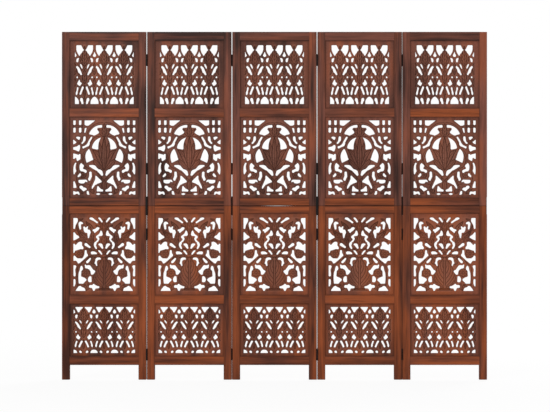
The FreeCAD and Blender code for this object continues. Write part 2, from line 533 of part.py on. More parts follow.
def paired_holes(hole_shares, width, height):
    """Every hole of a pattern and its mirror image, as drawn."""
    wires = [Part.Wire(hole_sides(closed(shares), width, height)) for shares in hole_shares.values()]
    return wires + [mirrored(wire) for wire in wires]


def sawn_holes(hole_shares, width, height):
    """Paired holes, cut a little outside the drawn line, which also rounds their corners."""
    wires = [wire.makeOffset2D(size("sawAllowance")) for wire in paired_holes(hole_shares, width, height)]
    return [Part.Wire(wire.Edges) for wire in wires]


def band_holes(hole_shares, between_shares, field_width, height):
    """The holes of a band: each plant's own, those between plants, and halves at both ends."""
    repeat = field_width / PLANTS_PER_BAND
    stems = [(number - (PLANTS_PER_BAND - 1) / 2) * repeat for number in range(PLANTS_PER_BAND)]
    wires = []
    for stem in stems:
        for wire in paired_holes(hole_shares, repeat, height):
            wires.append(wire.translated(FreeCAD.Vector(stem, 0, 0)))
    for shares in between_shares.values():
        half = [side.translated(FreeCAD.Vector(stems[-1], 0, 0))
                for side in hole_sides(shares, repeat, height)]
        line = stems[-1] + repeat / 2
        end_hole = Part.Wire(half + [hole_side(half[-1].lastVertex().Point, half[0].firstVertex().Point, 0)])
        wires += [end_hole, mirrored(end_hole)]
        whole = Part.Wire(Part.sortEdges(half + [mirrored(side, line) for side in half])[0])
        for position in range(1, PLANTS_PER_BAND):
            wires.append(whole.translated(FreeCAD.Vector(-position * repeat, 0, 0)))
    return wires


def make_insert(name, holes, side_margin, end_margin):
    """A carved board: a face with all its holes, as thick as the board."""
    opening_width = size("panelWidth") - 2 * size("stileWidth")
    opening_height = size(RISE[name])
    tongue = size("grooveDepth") - size("insertEndClearance")
    field_width = opening_width - 2 * size(side_margin)
    field_height = opening_height - 2 * size(end_margin)
    left, right = -opening_width / 2 - tongue, opening_width / 2 + tongue
    bottom, top = -opening_height / 2 - tongue, opening_height / 2 + tongue
    rim = Part.makePolygon([
        FreeCAD.Vector(left, 0, bottom), FreeCAD.Vector(right, 0, bottom),
        FreeCAD.Vector(right, 0, top), FreeCAD.Vector(left, 0, top), FreeCAD.Vector(left, 0, bottom)])
    face = doc.addObject("Part::Feature", f"{name}_pattern")
    face.Shape = Part.makeFace([rim] + holes(field_width, field_height), "Part::FaceMakerCheese")
    board = doc.addObject("Part::Extrusion", f"{name}_insert")
    board.Base = face
    board.DirMode = "Custom"
    board.Dir = FreeCAD.Vector(0, 1, 0)
    board.Solid = True
    board.Symmetric = True
    bind(board, "LengthFwd", "insertThickness")
    return board


def knuckle_slot(label, kind, position, height, bottom):
    """The room in one leaf for a knuckle of the other."""
    return rod(label, f"{kind}BarrelRadius + barrelStandoff",
               f"({height}) / {KNUCKLE_COUNT} + knuckleClearance", y=BARREL_AXIS,
               z=f"{bottom} + ({height}) * {position} / {KNUCKLE_COUNT} - knuckleClearance / 2")


def make_leaf(label, kind, side, centre, offsets):
    """One hinge leaf with its knuckles, in a gap whose middle is at zero, barrels in front."""
    height = f"{kind}HingeHeight"
    bottom = f"{centre} - ({height}) / 2"
    low_side = {"left": "-panelGap / 2", "right": "panelGap / 2 - leafThickness"}[side]
    strip = block(f"{label}_strip", (low_side, "leafThickness"),
                  (BARREL_AXIS, "leafDepth + barrelStandoff + seamBarrelRadius"), (bottom, height))
    barrel = rod(f"{label}_barrel", f"{kind}BarrelRadius", height, y=BARREL_AXIS, z=bottom)
    bore = rod(f"{label}_bore", f"{kind}PinRadius + pinClearance", height, y=BARREL_AXIS, z=bottom)
    first_slot = {"left": 1, "right": 0}[side]
    cuts = [bore] + [knuckle_slot(f"{label}_slot_{position}", kind, position, height, bottom)
                     for position in range(first_slot, KNUCKLE_COUNT, 2)]
    outside = "leafThickness - panelGap / 2"
    turn = {"left": POINTING_LEFT, "right": HALF_TURN * POINTING_LEFT}[side]
    at = {"left": outside, "right": f"-({outside})"}[side]
    cuts += [taper(f"{label}_countersink_{number}", "screwHeadRadius + screwClearance",
                   "screwShankRadius + screwClearance", "leafThickness",
                   x=at, z=f"{centre} {offset}", turn=turn)
             for number, offset in enumerate(offsets, start=1)]
    return cut(label, joined(f"{label}_blank", [strip, barrel]), cuts)


def make_hinge_side(side):
    """The leaves of one side of a gap: four small ones and the one across the seam."""
    leaves = [make_leaf(f"small_{side}_leaf_{number}", "small", side, centre, SMALL_SCREW_OFFSETS)
              for number, centre in enumerate(SMALL_HINGE_CENTRES, start=1)]
    leaves.append(make_leaf(f"seam_{side}_leaf", "seam", side, SEAM, SEAM_SCREW_OFFSETS))
    return leaves


def make_pins():
    """The pins of one gap."""
    places = [("small", centre) for centre in SMALL_HINGE_CENTRES] + [("seam", SEAM)]
    return [rod(f"pin_{number}", f"{kind}PinRadius", f"{kind}HingeHeight", y=BARREL_AXIS,
                z=f"{centre} - ({kind}HingeHeight) / 2")
            for number, (kind, centre) in enumerate(places, start=1)]


def make_screw():
    """A slotted countersunk wood screw along -X, its head's flat face at zero."""
    shank_length = "screwLength - leafThickness - screwPointLength"
    head = taper("screw_head", "screwHeadRadius", "screwShankRadius", "leafThickness", turn=POINTING_LEFT)
    shank = rod("screw_shank", "screwShankRadius", shank_length, x="-leafThickness", turn=POINTING_LEFT)
    point = taper("screw_point", "screwShankRadius", "screwTipRadius", "screwPointLength",
                  x=f"-leafThickness - ({shank_length})", turn=POINTING_LEFT)
    slot = block("screw_slot", ("-screwSlotDepth", "screwSlotDepth"), middle("2 * screwHeadRadius"),
                 middle("screwSlotWidth"))
    return cut("screw", joined("screw_blank", [head, shank, point]), [slot])


def screws_along_edge(label, screw, surface, places):
    """Screws in the right-hand edge of a panel, heads the given distance outside it."""
    return [group(f"{label}_{number}", [screw], x=f"{EDGE} + {surface}", z=f"{centre} {offset}")
            for number, (centre, offset) in enumerate(places, start=1)]


def make_joining_plate():
    """The iron plate in the right-hand outer edge that ties the upper half to the lower."""
    strip = block("joining_strip", (f"{EDGE} - housingDepth", "leafThickness"), middle("plateDepth"),
                  (f"{SEAM} - plateHeight / 2", "plateHeight"))
    cuts = [taper(f"joining_countersink_{number}", "screwHeadRadius + screwClearance",
                  "screwShankRadius + screwClearance", "leafThickness",
                  x=f"{EDGE} - housingDepth + leafThickness", z=f"{SEAM} {offset}", turn=POINTING_LEFT)
            for number, offset in enumerate(SEAM_SCREW_OFFSETS, start=1)]
    return cut("joining_plate", strip, cuts)


INSERTS = {
    "border": (lambda width, height: band_holes(BORDER_SHARES, BORDER_BETWEEN_SHARES, width, height),
               "borderSideMargin", "borderEndMargin"),
    "tree": (lambda width, height: sawn_holes(TREE_SHARES, width, height),
             "treeSideMargin", "treeEndMargin"),
    "lotus": (lambda width, height: sawn_holes(LOTUS_SHARES, width, height),
              "lotusSideMargin", "lotusEndMargin"),
    "frieze": (lambda width, height: band_holes(FRIEZE_SHARES, FRIEZE_BETWEEN_SHARES, width, height),
               "friezeSideMargin", "friezeEndMargin"),
}
RAIL_GROOVES = {
    "bottom_rail": ["top"],
    "lower_cross_rail": ["top", "bottom"],
    "lower_meeting_rail": ["bottom"],
    "upper_meeting_rail": ["top"],
    "upper_cross_rail": ["top", "bottom"],
    "top_rail": ["bottom"],
}

rails = {name: make_rail(name, grooves) for name, grooves in RAIL_GROOVES.items()}
boards = {name: make_insert(name, *pattern) for name, pattern in INSERTS.items()}
right_stiles = {(half, outer): make_stile(half, outer) for half in HALVES for outer in (False, True)}
left_stiles = {(half, outer): group(f"left_{half}_stile_{'outer' if outer else 'hinged'}", [stile],
                                    turn=HALF_TURN)
               for (half, outer), stile in right_stiles.items()}
front_leaves = {side: make_hinge_side(side) for side in ("left", "right")}
pins = make_pins()
screw = make_screw()
plate = make_joining_plate()
seam_places = [(SEAM, offset) for offset in SEAM_SCREW_OFFSETS]
hinge_places = seam_places + [(centre, offset) for centre in SMALL_HINGE_CENTRES
                              for offset in SMALL_SCREW_OFFSETS]
hinge_screws = screws_along_edge("hinge_screw", screw, "leafThickness", hinge_places)
plate_screws = screws_along_edge("plate_screw", screw, "leafThickness - housingDepth", seam_places)
left_hinge_screws = group("left_hinge_screws", hinge_screws, turn=HALF_TURN)
left_plate_screws = group("left_plate_screws", plate_screws, turn=HALF_TURN)

nodes = []


def add_node(label, pieces, x, z="0", turn=UPRIGHT):
    nodes.append(group(label, pieces, x, z, turn))


for number in range(1, PANEL_COUNT + 1):
    panel = f"panel_{number}"
    centre = f"({number} - {MIDDLE_PANEL}) * (panelWidth + panelGap)"
    first, last = number == 1, number == PANEL_COUNT
    for half, (_, _, half_rails, half_boards) in HALVES.items():
        add_node(f"{panel}_{half}_stiles", [left_stiles[half, first], right_stiles[half, last]], centre)
        add_node(f"{panel}_{half}_rails", [rails[name] for name in half_rails], centre)
        for board in half_boards:
            add_node(f"{panel}_{board}_insert", [boards[board]], centre,
                     z=f"{LEVEL[board]} + {RISE[board]} / 2")
    left_screws = left_plate_screws if first else left_hinge_screws
    right_screws = plate_screws if last else hinge_screws
    add_node(f"{panel}_screws", [left_screws] + right_screws, centre)
    if first or last:
        add_node(f"{panel}_joining_plate", [plate], centre, turn=HALF_TURN if first else UPRIGHT)

# Barrels stand in front and behind by turns, so that the screen folds like a concertina.
for number in range(1, PANEL_COUNT):
    in_front = number % 2 == 1
    turn = UPRIGHT if in_front else HALF_TURN
    centre = f"({number} - {MIDDLE_PANEL} + 1 / 2) * (panelWidth + panelGap)"
    hinges = f"hinges_{number}_{number + 1}"
    add_node(f"{hinges}_left_leaves", front_leaves["left" if in_front else "right"], centre, turn=turn)
    add_node(f"{hinges}_right_leaves", front_leaves["right" if in_front else "left"], centre, turn=turn)
    add_node(f"{hinges}_pins", pins, centre, turn=turn)

doc.recompute()
for item in doc.Objects:
    if "Invalid" in item.State or "Error" in item.State:
        raise RuntimeError(f"{item.Label} failed: {item.State}")
for node in nodes:
    if node.Shape.isNull() or not node.Shape.isValid() or not node.Shape.Solids:
        raise RuntimeError(f"{node.Label} has no sound shape")
for node in nodes:
    node.Shape.exportStep(os.path.join("parts", f"{node.Label}.step"))
print(len(nodes), "sub-parts,", sum(len(node.Shape.Solids) for node in nodes), "solids")
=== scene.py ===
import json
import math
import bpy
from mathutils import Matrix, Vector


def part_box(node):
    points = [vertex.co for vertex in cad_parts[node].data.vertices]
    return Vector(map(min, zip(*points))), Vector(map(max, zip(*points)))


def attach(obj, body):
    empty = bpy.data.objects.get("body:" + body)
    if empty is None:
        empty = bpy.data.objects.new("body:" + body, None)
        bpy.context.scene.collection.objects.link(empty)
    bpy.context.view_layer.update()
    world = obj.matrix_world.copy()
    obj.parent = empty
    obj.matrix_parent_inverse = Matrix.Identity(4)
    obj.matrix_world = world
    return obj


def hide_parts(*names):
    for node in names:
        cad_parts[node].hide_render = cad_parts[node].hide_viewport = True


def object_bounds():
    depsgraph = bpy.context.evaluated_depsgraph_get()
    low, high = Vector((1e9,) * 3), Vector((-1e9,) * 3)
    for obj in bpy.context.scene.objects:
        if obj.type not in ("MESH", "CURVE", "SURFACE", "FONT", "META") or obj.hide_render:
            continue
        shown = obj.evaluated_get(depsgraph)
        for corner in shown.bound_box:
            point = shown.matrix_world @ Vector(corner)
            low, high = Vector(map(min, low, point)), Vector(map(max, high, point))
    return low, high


bl_info = {
    "name": "Carved folding screen",
    "version": (1, 0, 0),
    "blender": (4, 5, 0),
    "location": "3D View > Sidebar > Carved screen",
    "description": "Dresses the packed folding screen: beams, pierced and carved boards, ironwork and stage",
    "category": "Object",
}

import bpy
import numpy as np
from mathutils import Vector
from mathutils.geometry import delaunay_2d_cdt

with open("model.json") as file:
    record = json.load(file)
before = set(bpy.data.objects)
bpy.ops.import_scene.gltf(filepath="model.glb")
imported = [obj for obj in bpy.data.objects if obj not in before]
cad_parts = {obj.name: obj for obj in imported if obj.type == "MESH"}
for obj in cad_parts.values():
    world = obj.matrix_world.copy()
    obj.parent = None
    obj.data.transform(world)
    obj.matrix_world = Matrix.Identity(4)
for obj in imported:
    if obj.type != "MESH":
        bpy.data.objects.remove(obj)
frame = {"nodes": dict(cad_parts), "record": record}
CAD_BOUNDS = [list(corner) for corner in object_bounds()]
MM = 0.001
PANELS = range(1, 6)
SENSOR_WIDTH = 36.0

# Carving, for each pattern. Places are shares of the pattern: across from its centre line, and down
# from its top. A leaf is its midrib from base to tip, its half width as a share of the pattern's
# width, its depth in millimetres, how early it is widest, and its count of side veins.
# A groove is a path cut with a V tool, a rosette a round flower, and a sunk field a lowered ground.
LOTUS_CARVING = {
    "leaves": [
        ([(0.012, 0.655), (0.085, 0.612), (0.182, 0.52)], 0.036, 2.2, 0.9, 0),
        ([(0.008, 0.64), (0.055, 0.53), (0.115, 0.448), (0.178, 0.402)], 0.043, 2.3, 0.9, 0),
        ([(0.004, 0.62), (0.03, 0.5), (0.058, 0.4), (0.076, 0.305)], 0.036, 2.2, 0.9, 0),
        ([(0.0, 0.665), (0.0, 0.45), (0.0, 0.236)], 0.038, 2.4, 0.8, 0),
        ([(0.004, 0.222), (0.04, 0.18), (0.088, 0.122)], 0.024, 1.8, 0.9, 0),
        ([(0.0, 0.226), (0.0, 0.14), (0.0, 0.05)], 0.034, 2.0, 0.9, 4),
        ([(0.006, 0.838), (0.03, 0.8), (0.046, 0.772)], 0.016, 1.6, 1.0, 0),
        ([(0.0, 0.945), (0.0, 0.88), (0.0, 0.812)], 0.036, 2.2, 1.0, 0),
        ([(0.168, 0.985), (0.19, 0.955), (0.23, 0.925)], 0.026, 1.8, 0.9, 3),
        ([(0.342, 0.985), (0.372, 0.965), (0.43, 0.935)], 0.02, 1.6, 0.9, 0),
    ],
    "grooves": [
        ([(0.0, 0.03), (0.11, 0.04), (0.205, 0.092), (0.262, 0.16), (0.282, 0.235)], 1.6, 1.5),
        ([(0.0, 0.052), (0.095, 0.062), (0.18, 0.108), (0.245, 0.192), (0.27, 0.24)], 1.4, 1.2),
        ([(0.04, 0.218), (0.13, 0.222), (0.19, 0.262), (0.222, 0.33), (0.262, 0.4)], 1.8, 1.6),
        ([(0.262, 0.4), (0.32, 0.47), (0.335, 0.545), (0.3, 0.62), (0.19, 0.672)], 1.8, 1.6),
        ([(0.3, 0.4), (0.345, 0.46), (0.352, 0.54), (0.322, 0.59)], 1.4, 1.2),
        ([(0.272, 0.24), (0.29, 0.29), (0.322, 0.322), (0.366, 0.336)], 1.6, 1.4),
        ([(0.19, 0.672), (0.11, 0.712), (0.05, 0.765), (0.026, 0.83)], 1.6, 1.5),
        ([(0.34, 0.25), (0.358, 0.285), (0.384, 0.31), (0.43, 0.32)], 1.4, 1.2),
        ([(0.42, 0.56), (0.432, 0.62), (0.424, 0.69), (0.45, 0.74)], 1.8, 1.5),
        ([(0.45, 0.74), (0.444, 0.8), (0.424, 0.868), (0.392, 0.94)], 1.8, 1.5),
        ([(0.16, 0.7), (0.176, 0.775), (0.215, 0.86), (0.256, 0.905)], 1.8, 1.6),
        ([(0.256, 0.905), (0.21, 0.9), (0.232, 0.86), (0.282, 0.87)], 1.4, 1.2),
        ([(0.15, 0.96), (0.172, 0.92), (0.215, 0.885)], 1.6, 1.4),
        ([(0.372, 0.422), (0.43, 0.432), (0.49, 0.424)], 1.6, 1.4),
        ([(0.372, 0.44), (0.356, 0.5), (0.372, 0.556), (0.432, 0.556)], 1.4, 1.2),
    ],
    "rosettes": [(0.336, 0.735, 0.046, 2.0, 6), (0.417, 0.277, 0.034, 1.8, 5)],
    "sunk": [(0.428, 0.08, 0.09, 0.018, 0.9), (0.0, 0.965, 0.045, 0.02, 1.0)],
}
TREE_CARVING = {
    "leaves": [
        ([(0.0, 0.945), (0.0, 0.74), (0.0, 0.54)], 0.168, 2.0, 0.58, 6),
        ([(0.02, 0.545), (0.11, 0.52), (0.2, 0.535), (0.268, 0.562)], 0.026, 1.8, 0.9, 4),
        ([(0.02, 0.44), (0.12, 0.438), (0.215, 0.43), (0.29, 0.425)], 0.026, 1.8, 0.9, 4),
        ([(0.16, 0.395), (0.23, 0.33), (0.33, 0.262), (0.425, 0.18)], 0.05, 2.2, 0.8, 8),
        ([(0.425, 0.18), (0.424, 0.12), (0.4, 0.05), (0.345, 0.02)], 0.024, 1.8, 0.9, 3),
        ([(0.18, 0.33), (0.205, 0.27), (0.215, 0.15), (0.29, 0.06)], 0.044, 2.0, 0.8, 7),
        ([(0.003, 0.215), (0.06, 0.16), (0.13, 0.108)], 0.026, 1.9, 0.9, 4),
        ([(0.002, 0.21), (0.026, 0.13), (0.078, 0.068)], 0.024, 1.9, 0.9, 3),
        ([(0.0, 0.22), (0.0, 0.13), (0.0, 0.03)], 0.028, 2.1, 0.9, 3),
        ([(0.0, 0.392), (0.04, 0.34), (0.082, 0.282)], 0.03, 1.8, 0.9, 3),
        ([(0.0, 0.395), (0.0, 0.31), (0.0, 0.215)], 0.04, 2.1, 0.8, 4),
        ([(0.3, 0.33), (0.34, 0.3), (0.388, 0.296), (0.45, 0.332)], 0.02, 1.6, 0.9, 0),
        ([(0.26, 0.905), (0.25, 0.93), (0.29, 0.99)], 0.024, 1.6, 0.9, 0),
        ([(0.428, 0.905), (0.402, 0.92), (0.3, 0.92)], 0.02, 1.6, 0.9, 0),
        ([(0.16, 0.64), (0.19, 0.6), (0.2, 0.56)], 0.022, 1.6, 0.9, 0),
    ],
    "grooves": [
        ([(0.0, 0.56), (0.002, 0.7), (0.0, 0.8), (0.0, 0.935)], 2.2, 1.8),
        ([(0.268, 0.43), (0.29, 0.52), (0.34, 0.6), (0.395, 0.64)], 1.6, 1.4),
        ([(0.3, 0.56), (0.352, 0.622), (0.4, 0.65), (0.44, 0.64)], 1.4, 1.2),
        ([(0.25, 0.43), (0.245, 0.5), (0.27, 0.56), (0.32, 0.62)], 1.6, 1.4),
        ([(0.418, 0.65), (0.432, 0.72), (0.436, 0.8), (0.438, 0.89)], 2.0, 1.6),
        ([(0.15, 0.8), (0.178, 0.83), (0.182, 0.88), (0.16, 0.9)], 1.6, 1.4),
        ([(0.44, 0.16), (0.455, 0.18), (0.49, 0.176)], 1.4, 1.2),
        ([(0.03, 0.965), (0.08, 0.985), (0.13, 0.995)], 1.6, 1.4),
        ([(0.24, 0.98), (0.262, 0.965), (0.3, 0.95), (0.34, 0.935)], 1.4, 1.2),
    ],
    "rosettes": [(0.406, 0.488, 0.066, 2.2, 8), (0.297, 0.75, 0.064, 2.2, 8), (0.0, 0.482, 0.026, 1.6, 6)],
    "sunk": [(0.0, 0.974, 0.085, 0.016, 2.0), (0.395, 0.952, 0.04, 0.01, 1.2)],
}
FRIEZE_CARVING = {
    "leaves": [
        ([(0.004, 0.35), (0.11, 0.285), (0.24, 0.205)], 0.07, 1.8, 0.9, 3),
        ([(0.0, 0.365), (0.0, 0.2), (0.0, 0.03)], 0.12, 2.3, 0.75, 5),
        ([(0.0, 0.655), (0.0, 0.54), (0.0, 0.425)], 0.11, 1.9, 0.9, 3),
        ([(0.0, 0.88), (0.0, 0.79), (0.0, 0.69)], 0.046, 1.9, 0.9, 0),
        ([(0.5, 0.7), (0.5, 0.64), (0.5, 0.57)], 0.06, 1.8, 0.9, 0),
        ([(0.5, 0.5), (0.5, 0.42), (0.5, 0.31)], 0.085, 1.9, 0.9, 3),
        ([(0.045, 0.962), (0.036, 0.925), (0.012, 0.895)], 0.03, 1.4, 0.9, 0),
    ],
    "grooves": [
        ([(0.06, 0.452), (0.15, 0.425), (0.24, 0.378), (0.33, 0.33), (0.43, 0.315)], 1.5, 1.3),
        ([(0.18, 0.545), (0.25, 0.53), (0.33, 0.49), (0.42, 0.425)], 1.5, 1.3),
        ([(0.15, 0.6), (0.2, 0.585), (0.27, 0.56), (0.3, 0.54)], 1.3, 1.1),
        ([(0.09, 0.67), (0.19, 0.712), (0.265, 0.765), (0.325, 0.862)], 1.5, 1.3),
        ([(0.455, 0.72), (0.47, 0.775), (0.492, 0.862)], 1.3, 1.1),
        ([(0.225, 0.985), (0.27, 0.9), (0.36, 0.866), (0.44, 0.862)], 1.4, 1.2),
        ([(0.43, 0.1), (0.455, 0.1), (0.48, 0.07)], 1.3, 1.1),
    ],
    "rosettes": [(0.0, 0.398, 0.045, 1.6, 6)],
    "sunk": [],
}
BORDER_CARVING = {
    "leaves": [
        ([(0.004, 0.315), (0.11, 0.25), (0.24, 0.165)], 0.07, 1.8, 0.9, 3),
        ([(0.0, 0.33), (0.0, 0.18), (0.0, 0.03)], 0.12, 2.3, 0.75, 5),
        ([(0.0, 0.66), (0.0, 0.53), (0.0, 0.4)], 0.11, 1.9, 0.9, 3),
        ([(0.0, 0.905), (0.0, 0.815), (0.0, 0.72)], 0.044, 1.9, 0.9, 0),
        ([(0.5, 0.73), (0.5, 0.66), (0.5, 0.58)], 0.06, 1.8, 0.9, 0),
        ([(0.5, 0.49), (0.5, 0.4), (0.5, 0.28)], 0.085, 1.9, 0.9, 3),
    ],
    "grooves": [
        ([(0.06, 0.425), (0.15, 0.395), (0.24, 0.35), (0.32, 0.295), (0.43, 0.285)], 1.5, 1.3),
        ([(0.18, 0.53), (0.25, 0.515), (0.33, 0.465), (0.42, 0.395)], 1.5, 1.3),
        ([(0.15, 0.608), (0.2, 0.59), (0.27, 0.565), (0.3, 0.545)], 1.3, 1.1),
        ([(0.09, 0.69), (0.19, 0.74), (0.26, 0.8), (0.32, 0.89)], 1.5, 1.3),
        ([(0.45, 0.74), (0.47, 0.8), (0.492, 0.885)], 1.3, 1.1),
    ],
    "rosettes": [(0.0, 0.365, 0.045, 1.6, 6)],
    "sunk": [],
}
# Each board: its carving, how often the plant repeats, and the plain wood from the board's own edge
# to the pattern, at the sides and at the ends.
BOARDS = {
    "lotus": (LOTUS_CARVING, 1, 22.5 * MM, 23.0 * MM),
    "tree": (TREE_CARVING, 1, 23.0 * MM, 26.0 * MM),
    "frieze": (FRIEZE_CARVING, 3, 31.0 * MM, 27.0 * MM),
    "border": (BORDER_CARVING, 3, 24.5 * MM, 21.5 * MM),
}
# Tone, from 0 for the darkest wood to 1 for the lightest, and warmth, from 0 for a cool brown to 1
# for an orange one. A half frame's rails are listed from the lowest to the highest.
STILE_TONES = {"lower": (0.45, 0.92), "upper": (0.40, 0.03)}
RAIL_TONES = {
    "lower": [(0.54, 0.90), (0.72, 1.00), (0.53, 0.85)],
    "upper": [(0.43, 0.72), (0.46, 0.50), (0.42, 0.0)],
}
BOARD_TONES = {
    "frieze": (0.42, 0.02), "lotus": (0.51, 0.04), "tree": (0.67, 0.64), "border": (0.48, 0.66),
}
# How much lighter or darker than those single pieces took the stain: stiles by the panel, the half
# and the side, rails by the panel, the half and their place from the lowest, and boards by the
# pattern and the panel.
ODD_STILES = {
    (1, "lower", -1): -0.28, (5, "lower", -1): 0.28, (5, "lower", 1): 0.16, (1, "upper", -1): -0.14,
    (2, "upper", -1): -0.08, (5, "upper", -1): 0.20, (5, "upper", 1): 0.42,
}
ODD_RAILS = {
    (1, "lower", 0): -0.17, (3, "lower", 0): -0.17, (5, "lower", 0): 0.28, (3, "lower", 1): -0.14,
    (4, "lower", 1): 0.25, (1, "upper", 1): 0.16, (4, "upper", 1): 0.18, (1, "upper", 2): -0.16,
    (2, "upper", 2): -0.18, (4, "upper", 2): 0.26,
}
ODD_BOARDS = {
    ("frieze", 1): -0.18, ("frieze", 3): -0.24, ("frieze", 5): 0.16, ("lotus", 4): 0.18,
    ("tree", 1): -0.16, ("tree", 5): 0.26, ("border", 1): -0.22, ("border", 2): 0.28,
    ("border", 3): 0.10, ("border", 5): 0.20,
}
TONE_SPREAD, WARMTH_SPREAD = 0.05, 0.06
# The axes that beams and their grain follow, and how strongly streaks and pores show on carved faces.
LEVEL, UPRIGHT = 0, 2
CARVED_FIGURE = 0.35
# How far the stiles' edges stand into each gap, from the left one to the right one: the panels have
# settled closer together towards the right, and more so at the bottom.
SWELLS = {
    "upper": (0.0, 0.15 * MM, 0.45 * MM, 0.9 * MM),
    "lower": (0.9 * MM, 1.55 * MM, 0.9 * MM, 1.85 * MM),
}
# Beams: the spacing of their rings, the shares of an end's arris at which its rings lie, the
# wavelengths in which their faces and their arrises wander, the wear beside an arris as a share of the
# wear on it, the arris at a stile's end in the seam and at the top and at a rail's ends, the play round
# what is let in, and how much thinner than the stiles the rails are.
RING_SPACING = 17 * MM
END_RINGS = np.array([0.0, 0.08, 0.30, 0.62, 1.0])
FACE_WAVES = (0.31, 0.137)
ARRIS_WAVES = (0.23, 0.061)
ARRIS_SIDE_WEAR = 0.35
SEAM_END_ARRIS, TOP_END_ARRIS, RAIL_END_ARRIS = 0.7 * MM, 1.8 * MM, 0.3 * MM
HOUSING_PLAY, RAIL_PLAY = 0.2 * MM, 0.2 * MM
# How dark the arrises are painted, as shade along the edges that face the boards and the gaps, and how far
# from the seam the stiles' ends are darkened.
ARRIS_SHADE, SEAM_DARKENING = 0.5, 1.4 * MM
# How far to each side of their edges the rings lie that bound a housing or a dark stretch.
HOUSING_EDGE, DARKENED_EDGE = 0.05 * MM, 1.5 * MM
# The bow of the two middle meeting rails of one panel: the panel, its middle and its reach.
BOWED_PANEL, BOW_CENTRE, BOW_REACH = 3, 14 * MM, 85 * MM
# The angle from which an edge of any piece is shaded as a sharp one.
SHARP_EDGE = math.radians(48)
# How finely a board is divided, in millimetres: its outline, its holes' edges, with a weight for
# their turning, the grid on which distances to the holes are measured, and how far they count.
OUTLINE_SPACING, HOLE_SPACING, TURN_WEIGHT = 14.0, 2.05, 1.2
GAP_STEP, GAP_REACH = 0.5, 16.0
# The turn from which a place of an edge is kept as a corner, and the most that a turn counts.
CORNER_TURN, MOST_TURN = math.radians(33), 0.6
# About how many are worked on at once: pairs of a place and a side, and places.
PAIRS_AT_ONCE, PLACES_AT_ONCE = 4_000_000, 1500
# Rings of places round a hole, as shares of its rounding, and how near a ring may come to a hole's
# other sides.
RING_SHARES, SOUND_SHARE = (0.10, 0.42, 1.05), 0.93
# The front and the back of a board: the grid's spacing and the bend from which its places are kept,
# each for one large plant and for several small ones, and the carving's share of its depth.
FACE_GRIDS = ((1.6, 1.85, 0.15, 0.21, 1.0), (2.8, 3.2, 0.4, 0.4, 0.85))
# Plain wood keeps one of so many of the grid's rows and columns, and the grid begins this far inside
# the board's edge. Ring places closer together than the least spacing are one, and the outline counts
# as far from every hole.
PLAIN_ROWS, PLAIN_BORDER, LEAST_SPACING, FAR = 3, 9.0, 0.12, 50.0
# How far the middle of a sawn wall wanders, in millimetres.
SAWN_WANDER = 0.12
# The boss of a carved flower, as a share of its radius, and how far outside a form's edge the lowest
# line of its ground lies, in millimetres.
BOSS_SHARE, GROUND_OFFSET = 0.27, 0.18
# How much wider and deeper than in its table a groove is cut, and where tool marks begin and over
# what distance they reach their full depth, in millimetres from the board's edge.
GROOVE_WIDER, GROOVE_DEEPER = 1.35, 1.15
MARKS_START, MARKS_RISE = 9.5, 4.0
# Dirt, painted shade, wear and painted highlight of a board, as shares, with depths and distances
# in millimetres: wax, dust and painted shade in what is cut down and in lines below their
# surroundings, painted shade beside the frame and beside a piercing, and the darker sawn walls; and
# wear with a painted highlight on lines above their surroundings, wear on the high wood away from the
# piercings, and along a piercing's edge.
CUT_DIRT_AND_SHADE, CUT_DIRT_AND_SHADE_DEPTH, LINE_DIRT_AND_SHADE_DEPTH = 0.36, 2.1, 0.36
FRAME_SHADE, FRAME_SHADE_END, FRAME_SHADE_FADE = 0.36, 13.0, 3.0
SAWN_SHADE, SAWN_SHADE_REACH, SAWN_WALL_DARKENING = 0.14, 3.5, 0.55
RIDGE_WEAR_AND_HIGHLIGHT, RIDGE_HEIGHT = 0.9, 0.30
HIGH_WEAR, HIGH_WEAR_START, HIGH_WEAR_RISE, HIGH_WEAR_CUT, PLAIN_SHARE = 0.75, 2.0, 10.0, 2.2, 0.2
SAWN_WEAR, SAWN_WEAR_PLACE, SAWN_WEAR_REACH = 0.3, 0.7, 1.8
# The stage, in metres: each light's place and size, the floor's half width, the distances between
# which the floor turns plain white, and the camera's place across and up.
KEY_PLACE, KEY_SIZE = (-2.8, -6.0, 3.0), 2.4
BACK_PLACE, BACK_SIZE = (2.4, 4.6, 3.6), 3.0
FLOOR_REACH, WHITE_START, WHITE_FULL = 25.0, 1.3, 4.0
CAMERA_ACROSS, CAMERA_UP = 0.0025, 0.8241


def linear(hexa):
    """The linear colour of an sRGB hex value."""
    shares = [int(hexa[i:i + 2], 16) / 255 for i in (1, 3, 5)]
    return tuple(s / 12.92 if s <= 0.04045 else ((s + 0.055) / 1.055) ** 2.4 for s in shares)


def colour(name, description, hexa):
    """A colour that a user may change, given as sRGB hex."""
    return bpy.props.FloatVectorProperty(
        name=name, description=description, subtype="COLOR", size=3, min=0, max=1, default=linear(hexa))


def length(name, description, default):
    """A length in metres that a user may change."""
    return bpy.props.FloatProperty(
        name=name, description=description, unit="LENGTH", min=0, default=default, precision=4)


def factor(name, description, default, highest=1.0):
    """A plain number that a user may change."""
    return bpy.props.FloatProperty(
        name=name, description=description, subtype="FACTOR", min=0, max=highest, default=default)


class CARVEDSCREEN_PG_sizes(bpy.types.PropertyGroup):
    """Sizes of the finish that a maker would choose."""

    frame_arris: length("Frame arris", "Rounding along the edges of stiles and rails", 1.4 * MM)
    foot_arris: length("Foot arris", "Wear round the foot of a stile", 2.6 * MM)
    sawn_arris: length("Sawn arris", "Rounding round each piercing", 1.3 * MM)
    hand_wave: length("Hand wave", "How far a planed face wanders inwards", 0.22 * MM)
    tool_marks: length("Tool marks", "Height of the carver's marks", 0.12 * MM)
    seam_bow: length("Seam bow", "How far the middle meeting rails have bowed apart, each", 0.55 * MM)
    grain_width: length("Grain width", "Between the broader streaks of the wood", 9 * MM)
    pore_width: length("Pore width", "Between fine pore lines, drawn coarser than real ones", 1.6 * MM)
    swell: factor("Swell", "Share of how far the stiles' edges stand into the gaps", 1.0)
    carving_depth: factor("Carving depth", "Share of the full carving depth", 1.35, 2.0)


